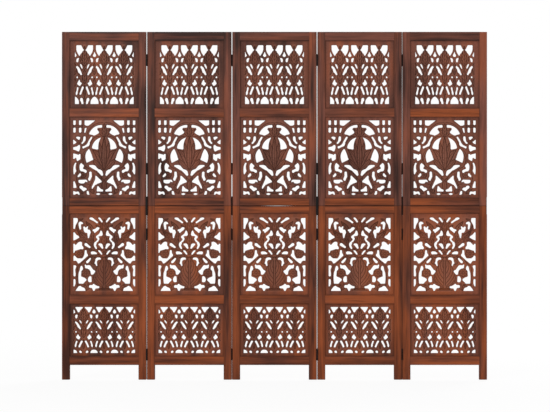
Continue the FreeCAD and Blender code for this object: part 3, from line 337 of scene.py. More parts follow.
class CARVEDSCREEN_PG_colours(bpy.types.PropertyGroup):
    """Colours of the finish."""

    cool_dark: colour("Cool, dark", "Upper frames where the stain took most", "#35201a")
    cool_light: colour("Cool, light", "Upper frames where the stain is thin", "#8a5344")
    warm_dark: colour("Warm, dark", "Lower frames where the stain took most", "#431f12")
    warm_light: colour("Warm, light", "Lower frames where the stain is thin", "#9c502c")
    # The darkest brown: for the pores, and for wax, dust and painted shade in hollows, corners and along
    # arrises.
    dirt_and_shade: colour("Hollow", "Wax and dust in the carving", "#1e0d08")
    # Lighter wood for rubbed edges, and for the painted highlight on the carving's ridges.
    worn_and_highlight: colour("Worn edge", "Edges rubbed through to lighter wood", "#98624e")
    iron: colour("Iron", "Blackened iron of hinges, plates and screws", "#0b0908")
    rust: colour("Rust", "Brown bloom on the iron", "#1a0f0b")


class CARVEDSCREEN_PG_stage(bpy.types.PropertyGroup):
    """Camera and light."""

    camera_distance: length("Camera distance", "From the screen's front to the camera", 10.0)
    picture_width: length("Picture width", "Width of the view at the screen's front", 2.6052)
    key: factor("Key light", "Power of the large light at the upper left, in watts", 166, 5000)
    back: factor("Back light", "Power of the light behind the screen, in watts", 260, 5000)
    room: factor("Room light", "Strength of the light from all round", 0.5, 5)
    floor_white: factor("Floor white", "Share of plain white in the floor as the camera sees it", 0.93)


def add_node(tree, kind, sockets=None, **settings):
    """Adds a node with its settings, and fills or links its sockets."""
    node = tree.nodes.new(kind)
    for name, value in settings.items():
        setattr(node, name, value)
    for name, value in (sockets or {}).items():
        if isinstance(value, bpy.types.NodeSocket):
            tree.links.new(value, node.inputs[name])
        else:
            node.inputs[name].default_value = value
    return node


def new_material(name):
    """An empty node material and its tree."""
    made = bpy.data.materials.get(name)
    if made:
        bpy.data.materials.remove(made)
    made = bpy.data.materials.new(name)
    made.use_nodes = True
    made.node_tree.nodes.clear()
    return made, made.node_tree


def stained_wood(name, grain_axis, figure):
    """Open-pored hardwood, planed or carved by hand, stained dark and waxed.

    To the eye: streaks along the grain, fine dark pores, patches where the stain took unevenly,
    edges rubbed lighter under a painted highlight, and wax, dust and painted shade dark in the hollows,
    corners and along edges. The figure scales the fine streaks and pores, which show less on carved
    faces than on planed ones.
    """
    sizes = bpy.context.scene.carved_screen_sizes
    colours = bpy.context.scene.carved_screen_colours
    made, tree = new_material(name)
    place = add_node(tree, "ShaderNodeTexCoord").outputs["Object"]

    # Noise with spots of a width, drawn out along the grain by a factor.
    grain = {}
    for kind, width, stretch, detail, rough in (
            ("streaks", sizes.grain_width, 22, 4, 0.62), ("pores", sizes.pore_width, 28, 2, 0.5),
            ("patches", 120 * MM, 2.6, 3, 0.6), ("bands", 34 * MM, 6, 3, 0.55)):
        scale = [1.0, 1.0, 1.0]
        scale[grain_axis] = 1 / stretch
        drawn_out = add_node(tree, "ShaderNodeMapping", {"Vector": place, "Scale": scale}).outputs[0]
        grain[kind] = add_node(tree, "ShaderNodeTexNoise", {
            "Vector": drawn_out, "Scale": 0.5 / width, "Detail": detail, "Roughness": rough}).outputs["Fac"]

    # What the mesh carries: the beam's or board's own tone and warmth, its rubbed edges with a painted
    # highlight, and its dirt with painted shade.
    carried = {kind: add_node(tree, "ShaderNodeAttribute", attribute_name=kind).outputs["Fac"]
               for kind in ("tone", "warmth", "wear_and_highlight", "dirt_and_shade")}

    # The tone and the warmth swing about their own value with the grain, and stay between 0 and 1.
    swung = {}
    for kind, swings in (("tone", {"streaks": 0.40 * figure, "patches": 0.34, "bands": 0.30}),
                         ("warmth", {"bands": 0.50, "patches": 0.40})):
        value = carried[kind]
        for pattern, reach in swings.items():
            swing = add_node(tree, "ShaderNodeMapRange", {
                "Value": grain[pattern], "From Min": 0.3, "From Max": 0.7,
                "To Min": -reach, "To Max": reach}).outputs[0]
            value = add_node(tree, "ShaderNodeMath", {0: value, 1: swing}, operation="ADD").outputs[0]
        swung[kind] = add_node(tree, "ShaderNodeClamp", {"Value": value}).outputs[0]

    # Values that follow the grain: how much of the pores shows, how much of the wear and painted highlight,
    # and the gloss.
    follows = {}
    for kind, pattern, start, end, least, most in (
            ("pore", "pores", 0.56, 0.74, 0.0, 0.45 * figure), ("wear_and_highlight_share", "patches", 0.35, 0.6, 0.15, 0.85),
            ("rough", "streaks", 0.3, 0.7, 0.44, 0.58)):
        follows[kind] = add_node(tree, "ShaderNodeMapRange", {
            "Value": grain[pattern], "From Min": start, "From Max": end,
            "To Min": least, "To Max": most}).outputs[0]
    # Rubbed edges here also carry a painted highlight, and the hollows' dark share also carries painted
    # shade.
    wear_and_highlight_share, dirt_and_shade_share = (
        add_node(tree, "ShaderNodeMath", {0: carried[kind], 1: share}, operation="MULTIPLY").outputs[0]
        for kind, share in (("wear_and_highlight", follows["wear_and_highlight_share"]), ("dirt_and_shade", 0.85)))

    # The stain, by warmth from a cool one to a warm one and each by tone from dark to light. Over it
    # lie the pores, the rubbed edges with their painted highlight, and the dirt and painted shade of the
    # hollows, corners and edges.
    cool, warm = (
        add_node(tree, "ShaderNodeMix", {
            0: swung["tone"], 6: (*dark, 1), 7: (*light, 1)}, data_type="RGBA").outputs[2]
        for dark, light in ((colours.cool_dark, colours.cool_light), (colours.warm_dark, colours.warm_light)))
    shade = cool
    for share, over in ((swung["warmth"], warm), (follows["pore"], (*colours.dirt_and_shade, 1)),
                        (wear_and_highlight_share, (*colours.worn_and_highlight, 1)), (dirt_and_shade_share, (*colours.dirt_and_shade, 1))):
        shade = add_node(tree, "ShaderNodeMix", {0: share, 6: shade, 7: over}, data_type="RGBA").outputs[2]

    rough = add_node(tree, "ShaderNodeMath", {
        0: carried["dirt_and_shade"], 1: 0.18, 2: follows["rough"]}, operation="MULTIPLY_ADD").outputs[0]
    height = add_node(tree, "ShaderNodeMath", {
        0: grain["pores"], 1: -0.6, 2: grain["streaks"]}, operation="MULTIPLY_ADD").outputs[0]
    bump = add_node(tree, "ShaderNodeBump", {
        "Height": height, "Strength": 0.35 * figure, "Distance": 0.35 * MM}).outputs[0]
    shader = add_node(tree, "ShaderNodeBsdfPrincipled", {
        "Base Color": shade, "Roughness": rough, "Normal": bump, "IOR": 1.45, "Specular IOR Level": 0.16})
    add_node(tree, "ShaderNodeOutputMaterial", {"Surface": shader.outputs[0]})
    return made


def blackened_iron():
    """Mild steel strip and screws, blackened hot and oiled.

    To the eye: near black and half matt, with a brown bloom and a faint hammered unevenness.
    """
    colours = bpy.context.scene.carved_screen_colours
    made, tree = new_material("blackened_oiled_iron")
    place = add_node(tree, "ShaderNodeTexCoord").outputs["Object"]
    bloom = add_node(tree, "ShaderNodeTexNoise", {
        "Vector": place, "Scale": 0.5 / (7 * MM), "Detail": 4.0, "Roughness": 0.65}).outputs["Fac"]
    dents = add_node(tree, "ShaderNodeTexNoise", {"Vector": place, "Scale": 0.5 / (2.5 * MM), "Detail": 2.0})
    share = add_node(tree, "ShaderNodeMapRange", {
        "Value": bloom, "From Min": 0.5, "From Max": 0.72, "To Min": 0.0, "To Max": 0.8}).outputs[0]
    tint = add_node(tree, "ShaderNodeMix", {
        0: share, 6: (*colours.iron, 1), 7: (*colours.rust, 1)}, data_type="RGBA").outputs[2]
    rough = add_node(tree, "ShaderNodeMapRange", {
        "Value": bloom, "From Min": 0.3, "From Max": 0.7, "To Min": 0.42, "To Max": 0.68}).outputs[0]
    bump = add_node(tree, "ShaderNodeBump", {
        "Height": dents.outputs["Fac"], "Strength": 0.25, "Distance": 0.2 * MM}).outputs[0]
    shader = add_node(tree, "ShaderNodeBsdfPrincipled", {
        "Base Color": tint, "Roughness": rough, "Normal": bump, "Metallic": 0.4, "Specular IOR Level": 0.3})
    add_node(tree, "ShaderNodeOutputMaterial", {"Surface": shader.outputs[0]})
    return made


def node_points(name):
    """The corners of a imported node's triangles, as rows of metres, three rows to a triangle."""
    mesh = frame["nodes"][name].data
    mesh.calc_loop_triangles()
    points = np.empty(len(mesh.vertices) * 3, np.float32)
    mesh.vertices.foreach_get("co", points)
    corners = np.empty(len(mesh.loop_triangles) * 3, np.int32)
    mesh.loop_triangles.foreach_get("vertices", corners)
    return points.reshape(-1, 3)[corners].astype(float)


def make_piece(name, points, faces, fields, material, body, replaced):
    """Puts the arrays into a mesh, sets its shading, and rides it on its body in the node's place."""
    mesh = bpy.data.meshes.new(name)
    mesh.from_pydata(points, [], faces)
    mesh.validate()
    mesh.shade_smooth()
    mesh.set_sharp_from_angle(angle=SHARP_EDGE)
    for field, values in fields.items():
        mesh.attributes.new(field, "FLOAT", "POINT").data.foreach_set("value", values.astype(np.float32))
    mesh.materials.append(material)
    piece = bpy.data.objects.new(name, mesh)
    bpy.context.scene.collection.objects.link(piece)
    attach(piece, body)
    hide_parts(replaced)


def faced_outwards(points, triangles):
    """The triangles turned over if the signed volume they enclose is negative."""
    a, b, c = (points[triangles[:, i]] for i in range(3))
    return triangles if (a * np.cross(b, c)).sum() > 0 else triangles[:, ::-1]


def beam_ring():
    """The places of a beam's ring, once round: each one's corner, its angle and its place on a flat face.

    They are a quarter circle at each corner and, on each side of it, two places on the flat faces, of
    which the nearer one shares the arris's darkening by dirt and painted shade.
    """
    corner, angle, slide = [], [], []
    signs = [(1, 1), (-1, 1), (-1, -1), (1, -1)]
    for turn in range(4):
        here, there = signs[turn], signs[(turn + 1) % 4]
        corner += [here] * 6 + [there] * 2
        angle += [math.radians(90 * turn + degrees) for degrees in (0, 30, 60, 90, 90, 90, 90, 90)]
        slide += [0, 0, 0, 0, MM, 2 * MM, -2 * MM, -MM]
    return np.array(corner, float), np.array(angle), np.array(slide, float)


def tube(count, around):
    """Triangles that join each of a count of rings to the next one, and fill both ends."""
    grid = np.arange(count * around).reshape(count, around)
    a, b = grid[:-1], np.roll(grid, -1, 1)[:-1]
    c, d = np.roll(grid, -1, 1)[1:], grid[1:]
    triangles = [np.stack([a, b, c], 2).reshape(-1, 3), np.stack([a, c, d], 2).reshape(-1, 3)]
    for row, order in ((grid[0], -1), (grid[-1], 1)):
        fan = np.stack([np.full(around - 2, row[0]), row[1:-1], row[2:]], 1)
        triangles.append(fan[:, ::order])
    return np.concatenate(triangles)


def beam(long_range, across_range, depth, axis, arrises, seed, housings=(), bow=None, darkened_runs=()):
    """A planed beam: a rectangle with rounded corners carried along its length.

    A ring's point is its corner's centre plus the corner's radius times the point's normal. The
    radius and the faces wander by sums of sines of the place along the beam. Towards an end the ring
    draws in along a quarter circle. A housing is a side, a depth and the places between which that
    edge is cut back by the depth. A bow is a side and how far a cosine bell moves that edge inwards.
    Each row of darkened_runs is a side, or 0 for all round, how dark its arrises are by dirt and painted
    shade, and the places between which they are. Points, triangles, wear and darkening come back.
    """
    sizes = bpy.context.scene.carved_screen_sizes
    draw = np.random.default_rng(seed)
    arris, start_arris, end_arris = arrises
    half = np.array([(across_range[1] - across_range[0]) / 2, depth / 2])
    middle = (across_range[0] + across_range[1]) / 2
    whole = long_range[1] - long_range[0]
    rows = [END_RINGS * start_arris, whole - END_RINGS * end_arris,
            np.linspace(3 * arris, whole - 3 * arris, max(8, round(whole / RING_SPACING)))]
    for stretches, edge in ((housings, HOUSING_EDGE), (darkened_runs, DARKENED_EDGE)):
        rows += [np.array([end + step for end in ends for step in (-edge, edge)]) - long_range[0]
                 for _, _, *ends in stretches]
    along = np.unique(np.clip(np.concatenate(rows), 0, whole).round(7))
    corner, angle, slide = beam_ring()
    normal = np.stack([np.cos(angle), np.sin(angle)], 1)
    tangent = np.stack([-np.sin(angle), np.cos(angle)], 1)

    u = along[:, None]
    phase = draw.uniform(0, 2 * math.pi, 8)
    turns = 2 * math.pi * u
    waves = (0.5 + 0.25 * np.sin(turns / FACE_WAVES[0] + phase[0] + angle)
             + 0.25 * np.sin(turns / FACE_WAVES[1] + phase[1] - 2 * angle))
    quarter = np.round(np.arctan2(corner[:, 1], corner[:, 0]) / (math.pi / 2) - 0.5).astype(int) % 4
    radius = arris * (0.85 + 0.25 * np.sin(turns / ARRIS_WAVES[0] + phase[2 + quarter])
                      + 0.15 * np.sin(turns / ARRIS_WAVES[1] + 2 * phase[2 + quarter]))
    near = np.clip(u / start_arris, 0, 1)
    far = np.clip((whole - u) / end_arris, 0, 1)
    drawn_in = (start_arris * (1 - np.sqrt(1 - (1 - near) ** 2))
                + end_arris * (1 - np.sqrt(1 - (1 - far) ** 2)))
    ring = (corner * (half - radius[..., None] - drawn_in[..., None]) + radius[..., None] * normal
            + slide[:, None] * tangent)
    across, through = ring[..., 0] + middle, ring[..., 1] - sizes.hand_wave * waves * normal[:, 1]
    for side, cut, start, end in housings:
        inner = (u + long_range[0] > start) & (u + long_range[0] < end)
        across = across - side * cut * inner * (corner[:, 0] == side)
    if bow:
        bowed_side, size = bow
        away = np.clip((u + long_range[0] - BOW_CENTRE) / BOW_REACH, -1, 1)
        bell = 0.5 * (1 + np.cos(math.pi * away))
        share = np.clip((ring[..., 0] * bowed_side + half[0]) / (2 * half[0]), 0, 1)
        across = across - bowed_side * size * bell * share
    long = np.broadcast_to(u + long_range[0], across.shape)
    columns = [across, through, long] if axis == UPRIGHT else [long, through, across]
    points = np.stack(columns, 2).reshape(-1, 3)

    on_flat = np.isclose(np.abs(np.sin(2 * angle)), 0, atol=1e-6)
    wear_and_highlight = np.where(on_flat & (slide != 0), 0.0, np.where(on_flat, ARRIS_SIDE_WEAR, 1.0))
    wear_and_highlight = np.broadcast_to(wear_and_highlight, across.shape) * (0.5 + 0.5 * waves)
    # Each run darkens its arrises with dirt and painted shade.
    darkening = np.zeros(across.shape)
    for side, strength, start, end in darkened_runs:
        ring_part = (np.abs(slide) <= MM) & (corner[:, 0] == side) if side else True
        darkening = np.maximum(darkening, strength * ((long >= start) & (long <= end)) * ring_part)
    triangles = faced_outwards(points, tube(len(along), len(angle)))
    return points, triangles, (wear_and_highlight * (1 - darkening)).reshape(-1), darkening.reshape(-1)


def spans(heights, gap):
    """The lowest and highest of each group of heights that lie closer together than a gap."""
    heights = np.unique(heights.round(5))
    groups = np.split(heights, np.nonzero(np.diff(heights) > gap)[0] + 1)
    return [(group.min(), group.max()) for group in groups]


def leaf_spans(panel, side):
    """Where the hinge leaves lie along one side of a panel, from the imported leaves."""
    if is_outer(panel, side):
        return []
    pair = (panel - 1, panel, "right") if side < 0 else (panel, panel + 1, "left")
    return spans(node_points("hinges_{}_{}_{}_leaves".format(*pair))[:, 2], 30 * MM)


def frame_lines(panel, half):
    """Where a half frame's stiles and rails lie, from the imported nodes' own corners.

    The rails' heights are groups of corner heights with wide gaps between them, and the stiles' inner
    edges are the rails' shoulders, the smallest distance of a rail's end corners.
    """
    low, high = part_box(f"panel_{panel}_{half}_stiles")
    centre = (low.x + high.x) / 2
    corners = node_points(f"panel_{panel}_{half}_rails")
    shoulder = np.abs(corners[:, 0] - centre).round(5).min()
    return low, high, centre, shoulder, spans(corners[:, 2], 0.1)


def joined_arrays(parts):
    """Several closed shapes as one set of arrays."""
    points, triangles, first = [], [], 0
    for shape_points, shape_triangles in parts:
        points.append(shape_points)
        triangles.append(shape_triangles + first)
        first += len(shape_points)
    return np.concatenate(points), np.concatenate(triangles)


def catmull_rom(points, per_span=6):
    """A smooth path through the points: each span is the cubic with its neighbours' chords as slopes."""
    points = np.array(points, float)
    if len(points) == 2:
        return np.linspace(points[0], points[1], per_span + 1)
    padded = np.concatenate([[2 * points[0] - points[1]], points, [2 * points[-1] - points[-2]]])
    t = np.linspace(0, 1, per_span, endpoint=False)[:, None]
    before, here, there, after = padded[:-3], padded[1:-2], padded[2:-1], padded[3:]
    stretches = [0.5 * (2 * h + (n - p) * t + (2 * p - 5 * h + 4 * n - a) * t ** 2
                        + (3 * h - p - 3 * n + a) * t ** 3)
                 for p, h, n, a in zip(before, here, there, after)]
    return np.concatenate([*stretches, points[-1:]])


def nearest_on_path(places, path):
    """Each place's distance to a path of straight runs, how far along the path the nearest place lies,
    from 0 to 1, and on which side of the path it is, -1 or 1."""
    start, run = path[:-1], np.diff(path, axis=0)
    squared = (run ** 2).sum(1)
    away = places[:, None] - start
    share = np.clip((away * run).sum(2) / squared, 0, 1)
    gap = away - share[..., None] * run
    distance = (gap ** 2).sum(2)
    best = distance.argmin(1)
    pick = np.arange(len(places))
    lengths = np.sqrt(squared)
    before = np.concatenate([[0], np.cumsum(lengths)])
    along = (before[best] + share[pick, best] * lengths[best]) / before[-1]
    side = np.sign(run[best, 0] * gap[pick, best, 1] - run[best, 1] * gap[pick, best, 0])
    return np.sqrt(distance[pick, best]), along, side


def near_box(places, path, reach):
    """Which places lie within reach of the box round a path."""
    return ((places > path.min(0) - reach) & (places < path.max(0) + reach)).all(1)


def beside(path, along, away):
    """Places at shares of a path's length, each moved to the path's left by a distance."""
    run = np.linalg.norm(np.diff(path, axis=0), axis=1)
    reached = np.concatenate([[0], np.cumsum(run)]) / run.sum()
    slope = np.gradient(path, reached, axis=0)
    slope /= np.linalg.norm(slope, axis=1)[:, None]
    columns = (path[:, 0], path[:, 1], -slope[:, 1], slope[:, 0])
    x, z, left_x, left_z = (np.interp(along, reached, column) for column in columns)
    return np.stack([x + left_x * away, z + left_z * away], 1)


def leaf_width(along, half_width, early):
    """A leaf's half width: W sin(pi t^early)^0.8 at the share t of its midrib, and no less than 0.25 mm."""
    return np.maximum(half_width * np.sin(math.pi * np.clip(along, 0.002, 0.998) ** early) ** 0.8, 0.25)


def leaf_ribs(half_width):
    """A leaf's rib lines: their distance from the midrib, in millimetres, and how far its veins rise."""
    return (4.0, 0.50) if half_width > 20 else (0.0, 0.26)


def carve_leaf(depth, places, path, half_width, cut, early, veins):
    """A raised leaf in a sunk outline.

    With s the distance from the midrib and w the half width there: inside, the depth is cut times
    (0.10 + 0.70 (s/w)^2), plus a V, 2 mm to each side, along the midrib, or along a rib on each side
    of it in a broad leaf, and V veins that rise as (s/w)^1.3; outside, it is 1.1 times cut at the
    leaf's edge and rises again as a bell of the distance from that edge.
    """
    near = near_box(places, path, half_width + 6)
    if not near.any():
        return
    spot = places[near]
    distance, along, _ = nearest_on_path(spot, path)
    width = leaf_width(along, half_width, early)
    share = distance / width
    inside = share < 1
    within = np.clip(share, 0, 1)
    leaf = cut * (0.10 + 0.70 * within ** 2)
    rib, rise = leaf_ribs(half_width)
    line = np.clip(1 - np.abs(distance - rib) / 2.0, 0, 1) * (along > 0.04) * (along < 0.9)
    leaf += (0.9 if rib else 0.65) * cut * line
    if veins:
        turn = np.abs((((along - rise * within ** 1.3) * veins) % 1) - 0.5) * 2
        vein = np.clip(1 - turn / 0.42, 0, 1) * np.clip((distance - rib) / 2, 0, 1)
        leaf += 0.45 * cut * vein * (share < 0.93)
    ground = 1.1 * cut * np.exp(-((distance - width) / 2.8) ** 2)
    depth[near] = np.where(inside, leaf, np.maximum(depth[near], ground))


def petal_side(turn, petals):
    """How far a direction lies from the middle of its petal: 0 at the middle and 1 at the sides."""
    return 1 - 2 * np.abs((turn * petals / (2 * math.pi)) % 1 - 0.5)


def rosette_rim(aside):
    """A flower's rim as a share of its radius: 1 - 0.13 f^2 at the place f across a petal."""
    return 1 - 0.13 * aside ** 2


def carve_rosette(depth, places, centre, radius, cut, petals):
    """A round flower in a sunk outline.

    With r the distance from its middle, R its radius and f the place across a petal, from 0 at its
    middle to 1 at its sides, the depth is cut times (0.15 + 0.55 f^4 + 0.30 (r/R)^2), and in the boss,
    inside 0.27 R, cut times (0.05 + 0.75 (r / 0.27 R)^4). Outside the rim the ground is 1.1 times cut
    and rises again as a bell of the distance from the rim.
    """
    away = places - centre
    distance = np.sqrt((away ** 2).sum(1))
    near = distance < radius + 6
    aside = petal_side(np.arctan2(away[near, 1], away[near, 0]), petals)
    share = distance[near] / radius
    rim = rosette_rim(aside)
    flower = cut * (0.15 + 0.55 * aside ** 4 + 0.30 * share ** 2)
    boss = cut * (0.05 + 0.75 * (share / BOSS_SHARE) ** 4)
    flower = np.where(share < BOSS_SHARE, boss, flower)
    ground = 1.1 * cut * np.exp(-((distance[near] - radius * rim) / 2.2) ** 2)
    depth[near] = np.where(share < rim, flower, np.maximum(depth[near], ground))


def carve_groove(depth, places, path, width, cut):
    """A V groove: the depth is cut times 1 less the distance over the half width, and no less than 0.
    Over an eighth of its length at each end it rises."""
    near = near_box(places, path, width + 1)
    distance, along, _ = nearest_on_path(places[near], path)
    fade = np.clip(np.minimum(along, 1 - along) * 8, 0.15, 1)
    depth[near] = np.maximum(depth[near], cut * fade * np.clip(1 - distance / width, 0, 1))


def carve_sunk(depth, places, centre, reach, cut):
    """A sunk field: full depth inside its rectangle, and a short slope round it."""
    away = np.maximum(np.abs(places - centre) - reach, 0)
    slope = np.clip(1 - np.sqrt((away ** 2).sum(1)) / 1.6, 0, 1)
    depth[:] = np.maximum(depth, cut * slope)


def inset(places, kind, low, high):
    """How far each place lies inside the board's edge, in millimetres, and whether it is in the pattern:
    1 inside the pattern's rectangle, falling to 0 in the 3 mm round it."""
    side_margin, end_margin = BOARDS[kind][2:]
    x, z = places[:, 0], places[:, 1]
    aside = np.minimum(x - low.x / MM, high.x / MM - x)
    upright = np.minimum(z - low.z / MM, high.z / MM - z)
    within = np.clip(np.minimum(aside - side_margin / MM, upright - end_margin / MM) / 3 + 1, 0, 1)
    return np.minimum(aside, upright), within


def placed_cuts(kind, low, high):
    """Every cut of a board, in millimetres in its plane: the function that cuts it and what that takes.

    Every form is cut for each repeat of the plant and on both sides of its centre line.
    """
    table, repeats, side_margin, end_margin = BOARDS[kind]
    top = (high.z - end_margin) / MM
    tall = (high.z - low.z - 2 * end_margin) / MM
    wide = (high.x - low.x - 2 * side_margin) / MM / repeats
    middle = (low.x + high.x) / 2 / MM

    cuts = []
    for repeat in range(repeats):
        stem = middle + (repeat - (repeats - 1) / 2) * wide
        for sign in (1, -1):
            def at(shares):
                shares = np.array(shares, float)
                return np.stack([stem + sign * shares[..., 0] * wide, top - shares[..., 1] * tall], -1)
            cuts += [(carve_sunk, at((across, down)), np.array([half_across * wide, half_down * tall]), cut)
                     for across, down, half_across, half_down, cut in table["sunk"]]
            cuts += [(carve_groove, catmull_rom(at(shares)), GROOVE_WIDER * width, GROOVE_DEEPER * cut)
                     for shares, width, cut in table["grooves"]]
            cuts += [(carve_leaf, catmull_rom(at(shares)), half_width * wide, cut, early, veins)
                     for shares, half_width, cut, early, veins in table["leaves"]]
            cuts += [(carve_rosette, at((across, down)), radius * wide, cut, petals)
                     for across, down, radius, cut, petals in table["rosettes"]]
    return cuts


def carved_lines(kind, low, high):
    """The lines that a carver's edge leaves: grooves, each leaf's outline, ribs and veins, and each
    flower's rim, boss and petals. Outlines lie just outside the form, on the sunk ground."""
    lines = []
    for carve, *cut in placed_cuts(kind, low, high):
        if carve is carve_groove:
            lines.append(cut[0])
        elif carve is carve_leaf:
            path, half_width, _, early, veins = cut
            rib, rise = leaf_ribs(half_width)
            along, ribbed = np.linspace(0.01, 0.99, 30), np.linspace(0.04, 0.9, 24)
            for side in (-1, 1):
                edge = leaf_width(along, half_width, early) + GROUND_OFFSET
                lines.append(beside(path, along, side * edge))
                lines.append(beside(path, ribbed, side * rib))
                for vein in range(veins):
                    share = np.linspace(0.15, 0.92, 9)
                    place = (vein + 0.5) / veins + rise * share ** 1.3
                    share, place = share[place < 0.97], place[place < 0.97]
                    if len(share) > 1:
                        away = share * leaf_width(place, half_width, early)
                        lines.append(beside(path, place, side * away))
        elif carve is carve_rosette:
            centre, radius, _, petals = cut
            turn = np.linspace(-math.pi, math.pi, 8 * petals + 1)
            circle = np.stack([np.cos(turn), np.sin(turn)], 1)
            rim = radius * rosette_rim(petal_side(turn, petals)) + GROUND_OFFSET
            lines += [centre + rim[:, None] * circle, centre + BOSS_SHARE * radius * circle]
            for petal in range(petals):
                way = 2 * math.pi * (petal + 0.5) / petals
                reach = np.array([0.3, 0.85])[:, None] * radius
                lines.append(centre + reach * np.array([math.cos(way), math.sin(way)]))
    return lines


def drawn_onto(places, lines, reach):
    """The places, those nearer to a line than reach moved to the nearest place on the nearest line."""
    best = np.full(len(places), float(reach))
    moved = places.copy()
    for line in lines:
        near = np.nonzero(near_box(places, line, reach))[0]
        if len(near):
            distance, along, _ = nearest_on_path(places[near], line)
            closer = distance < best[near]
            best[near[closer]] = distance[closer]
            moved[near[closer]] = beside(line, along[closer], 0)
    return moved


def carving(places, kind, low, high):
    """The carving's depth in millimetres at places in the board's plane, in millimetres."""
    sizes = bpy.context.scene.carved_screen_sizes
    depth = np.zeros(len(places))
    for carve, *cut in placed_cuts(kind, low, high):
        carve(depth, places, *cut)
    # Carving fades out where the pattern ends, and tool marks before the groove of the frame.
    x, z = places[:, 0], places[:, 1]
    edge, within = inset(places, kind, low, high)
    fade = np.clip((edge - MARKS_START) / MARKS_RISE, 0, 1)
    marks = (np.sin(x * 0.83 + 1.7 * np.sin(z * 0.11)) * np.sin(z * 0.47 + 1.3 * np.sin(x * 0.17))
             + 0.6 * np.sin(x * 0.21 - z * 0.33)) / 1.6
    return depth * sizes.carving_depth * within + (0.5 + 0.5 * marks) * sizes.tool_marks / MM * fade


def boundary_loops(triangles):
    """Closed loops along the open edges of a flat mesh, each a row of places in its plane.

    An edge used by one triangle only lies on a loop. Each end is joined to the next one, and both a
    loop's name, its lowest end, and the order along it come from jumping twice as far each time.
    """
    places, corner = np.unique(triangles.reshape(-1, 2).round(4), axis=0, return_inverse=True)
    corner = corner.reshape(-1, 3)
    edges = np.concatenate([corner[:, [0, 1]], corner[:, [1, 2]], corner[:, [2, 0]]])
    edges = edges[edges[:, 0] != edges[:, 1]]
    key = np.sort(edges, 1)
    _, back, uses = np.unique(key, axis=0, return_inverse=True, return_counts=True)
    edges = edges[uses[back.reshape(-1)] == 1]
    ends = np.unique(edges[:, 0])
    place_of = np.searchsorted(ends, edges)
    follow = np.empty(len(ends), int)
    follow[place_of[:, 0]] = place_of[:, 1]
    name, jump = np.arange(len(ends)), follow.copy()
    for _ in range(int(math.log2(len(ends))) + 2):
        name = np.minimum(name, name[jump])
        jump = jump[jump]
    head = name == np.arange(len(ends))
    left, jump = np.where(head, 0, 1), np.where(head, np.arange(len(ends)), follow)
    for _ in range(int(math.log2(len(ends))) + 2):
        left = left + left[jump]
        jump = jump[jump]
    rank = np.where(head, -len(ends), -left)
    order = np.lexsort((rank, name))
    cuts = np.nonzero(np.diff(name[order]))[0] + 1
    return [places[ends[part]] for part in np.split(order, cuts)]


def signed_area(loop):
    """The area inside a loop, positive where it runs anticlockwise."""
    after = np.roll(loop, -1, 0)
    return 0.5 * (loop[:, 0] * after[:, 1] - loop[:, 1] * after[:, 0]).sum()


def respaced(loop, spacing, bend_weight):
    """A loop with its sharp corners kept and the stretches between them divided anew.

    Along a stretch the spacing is even in its length plus a weight times its turning, so that tight
    curves get more places.
    """
    run = np.roll(loop, -1, 0) - loop
    heading = np.arctan2(run[:, 1], run[:, 0])
    turn = np.abs((heading - np.roll(heading, 1) + math.pi) % (2 * math.pi) - math.pi)
    sharp = np.nonzero(turn > CORNER_TURN)[0]
    if len(sharp):
        loop, run, turn = (np.roll(values, -sharp[0], 0) for values in (loop, run, turn))
        sharp = sharp - sharp[0]
    else:
        sharp = np.array([0])
    bend = np.minimum(turn, MOST_TURN)
    bend[sharp] = 0
    weight = np.linalg.norm(run, axis=1) + bend_weight * (bend + np.roll(bend, -1)) / 2
    reached = np.concatenate([[0], np.cumsum(weight)])
    stops = np.concatenate([reached[sharp], [reached[-1]]])
    marks = np.concatenate([
        np.linspace(first, last, max(1, round((last - first) / spacing)), endpoint=False)
        for first, last in zip(stops[:-1], stops[1:])])
    closed = np.concatenate([loop, loop[:1]])
    return np.stack([np.interp(marks, reached, closed[:, 0]), np.interp(marks, reached, closed[:, 1])], 1)


def inside_holes(holes, xs, zs):
    """True where a grid's place is in a hole: along each row the holes' sides passed so far are
    counted, and an odd count is inside."""
    passed = np.zeros((len(zs), len(xs) + 1), int)
    start = np.concatenate(holes)
    end = np.concatenate([np.roll(hole, -1, 0) for hole in holes])
    first = np.searchsorted(zs, np.minimum(start[:, 1], end[:, 1]), "right")
    count = np.searchsorted(zs, np.maximum(start[:, 1], end[:, 1]), "right") - first
    side = np.repeat(np.arange(len(start)), count)
    row = first[side] + np.arange(count.sum()) - np.repeat(np.cumsum(count) - count, count)
    share = (zs[row] - start[side, 1]) / (end[side, 1] - start[side, 1])
    crossing = start[side, 0] + share * (end[side, 0] - start[side, 0])
    np.add.at(passed, (row, np.searchsorted(xs, crossing)), 1)
    return np.cumsum(passed, 1)[:, :-1] % 2 == 1


def clearance(holes, step, reach):
    """Each grid place's distance to the nearest hole, up to reach: first along its row, and then over
    the rows near it, as the root of the summed squares."""
    columns = np.arange(holes.shape[1])
    far = 4 * len(columns)
    left = np.maximum.accumulate(np.where(holes, columns, -far), 1)
    right = np.minimum.accumulate(np.where(holes, columns, far)[:, ::-1], 1)[:, ::-1]
    squared = np.minimum(columns - left, right - columns).astype(float) ** 2
    best = squared.copy()
    for rows in range(1, int(reach / step) + 1):
        best[rows:] = np.minimum(best[rows:], squared[:-rows] + rows ** 2)
        best[:-rows] = np.minimum(best[:-rows], squared[rows:] + rows ** 2)
    return np.minimum(np.sqrt(best) * step, reach)


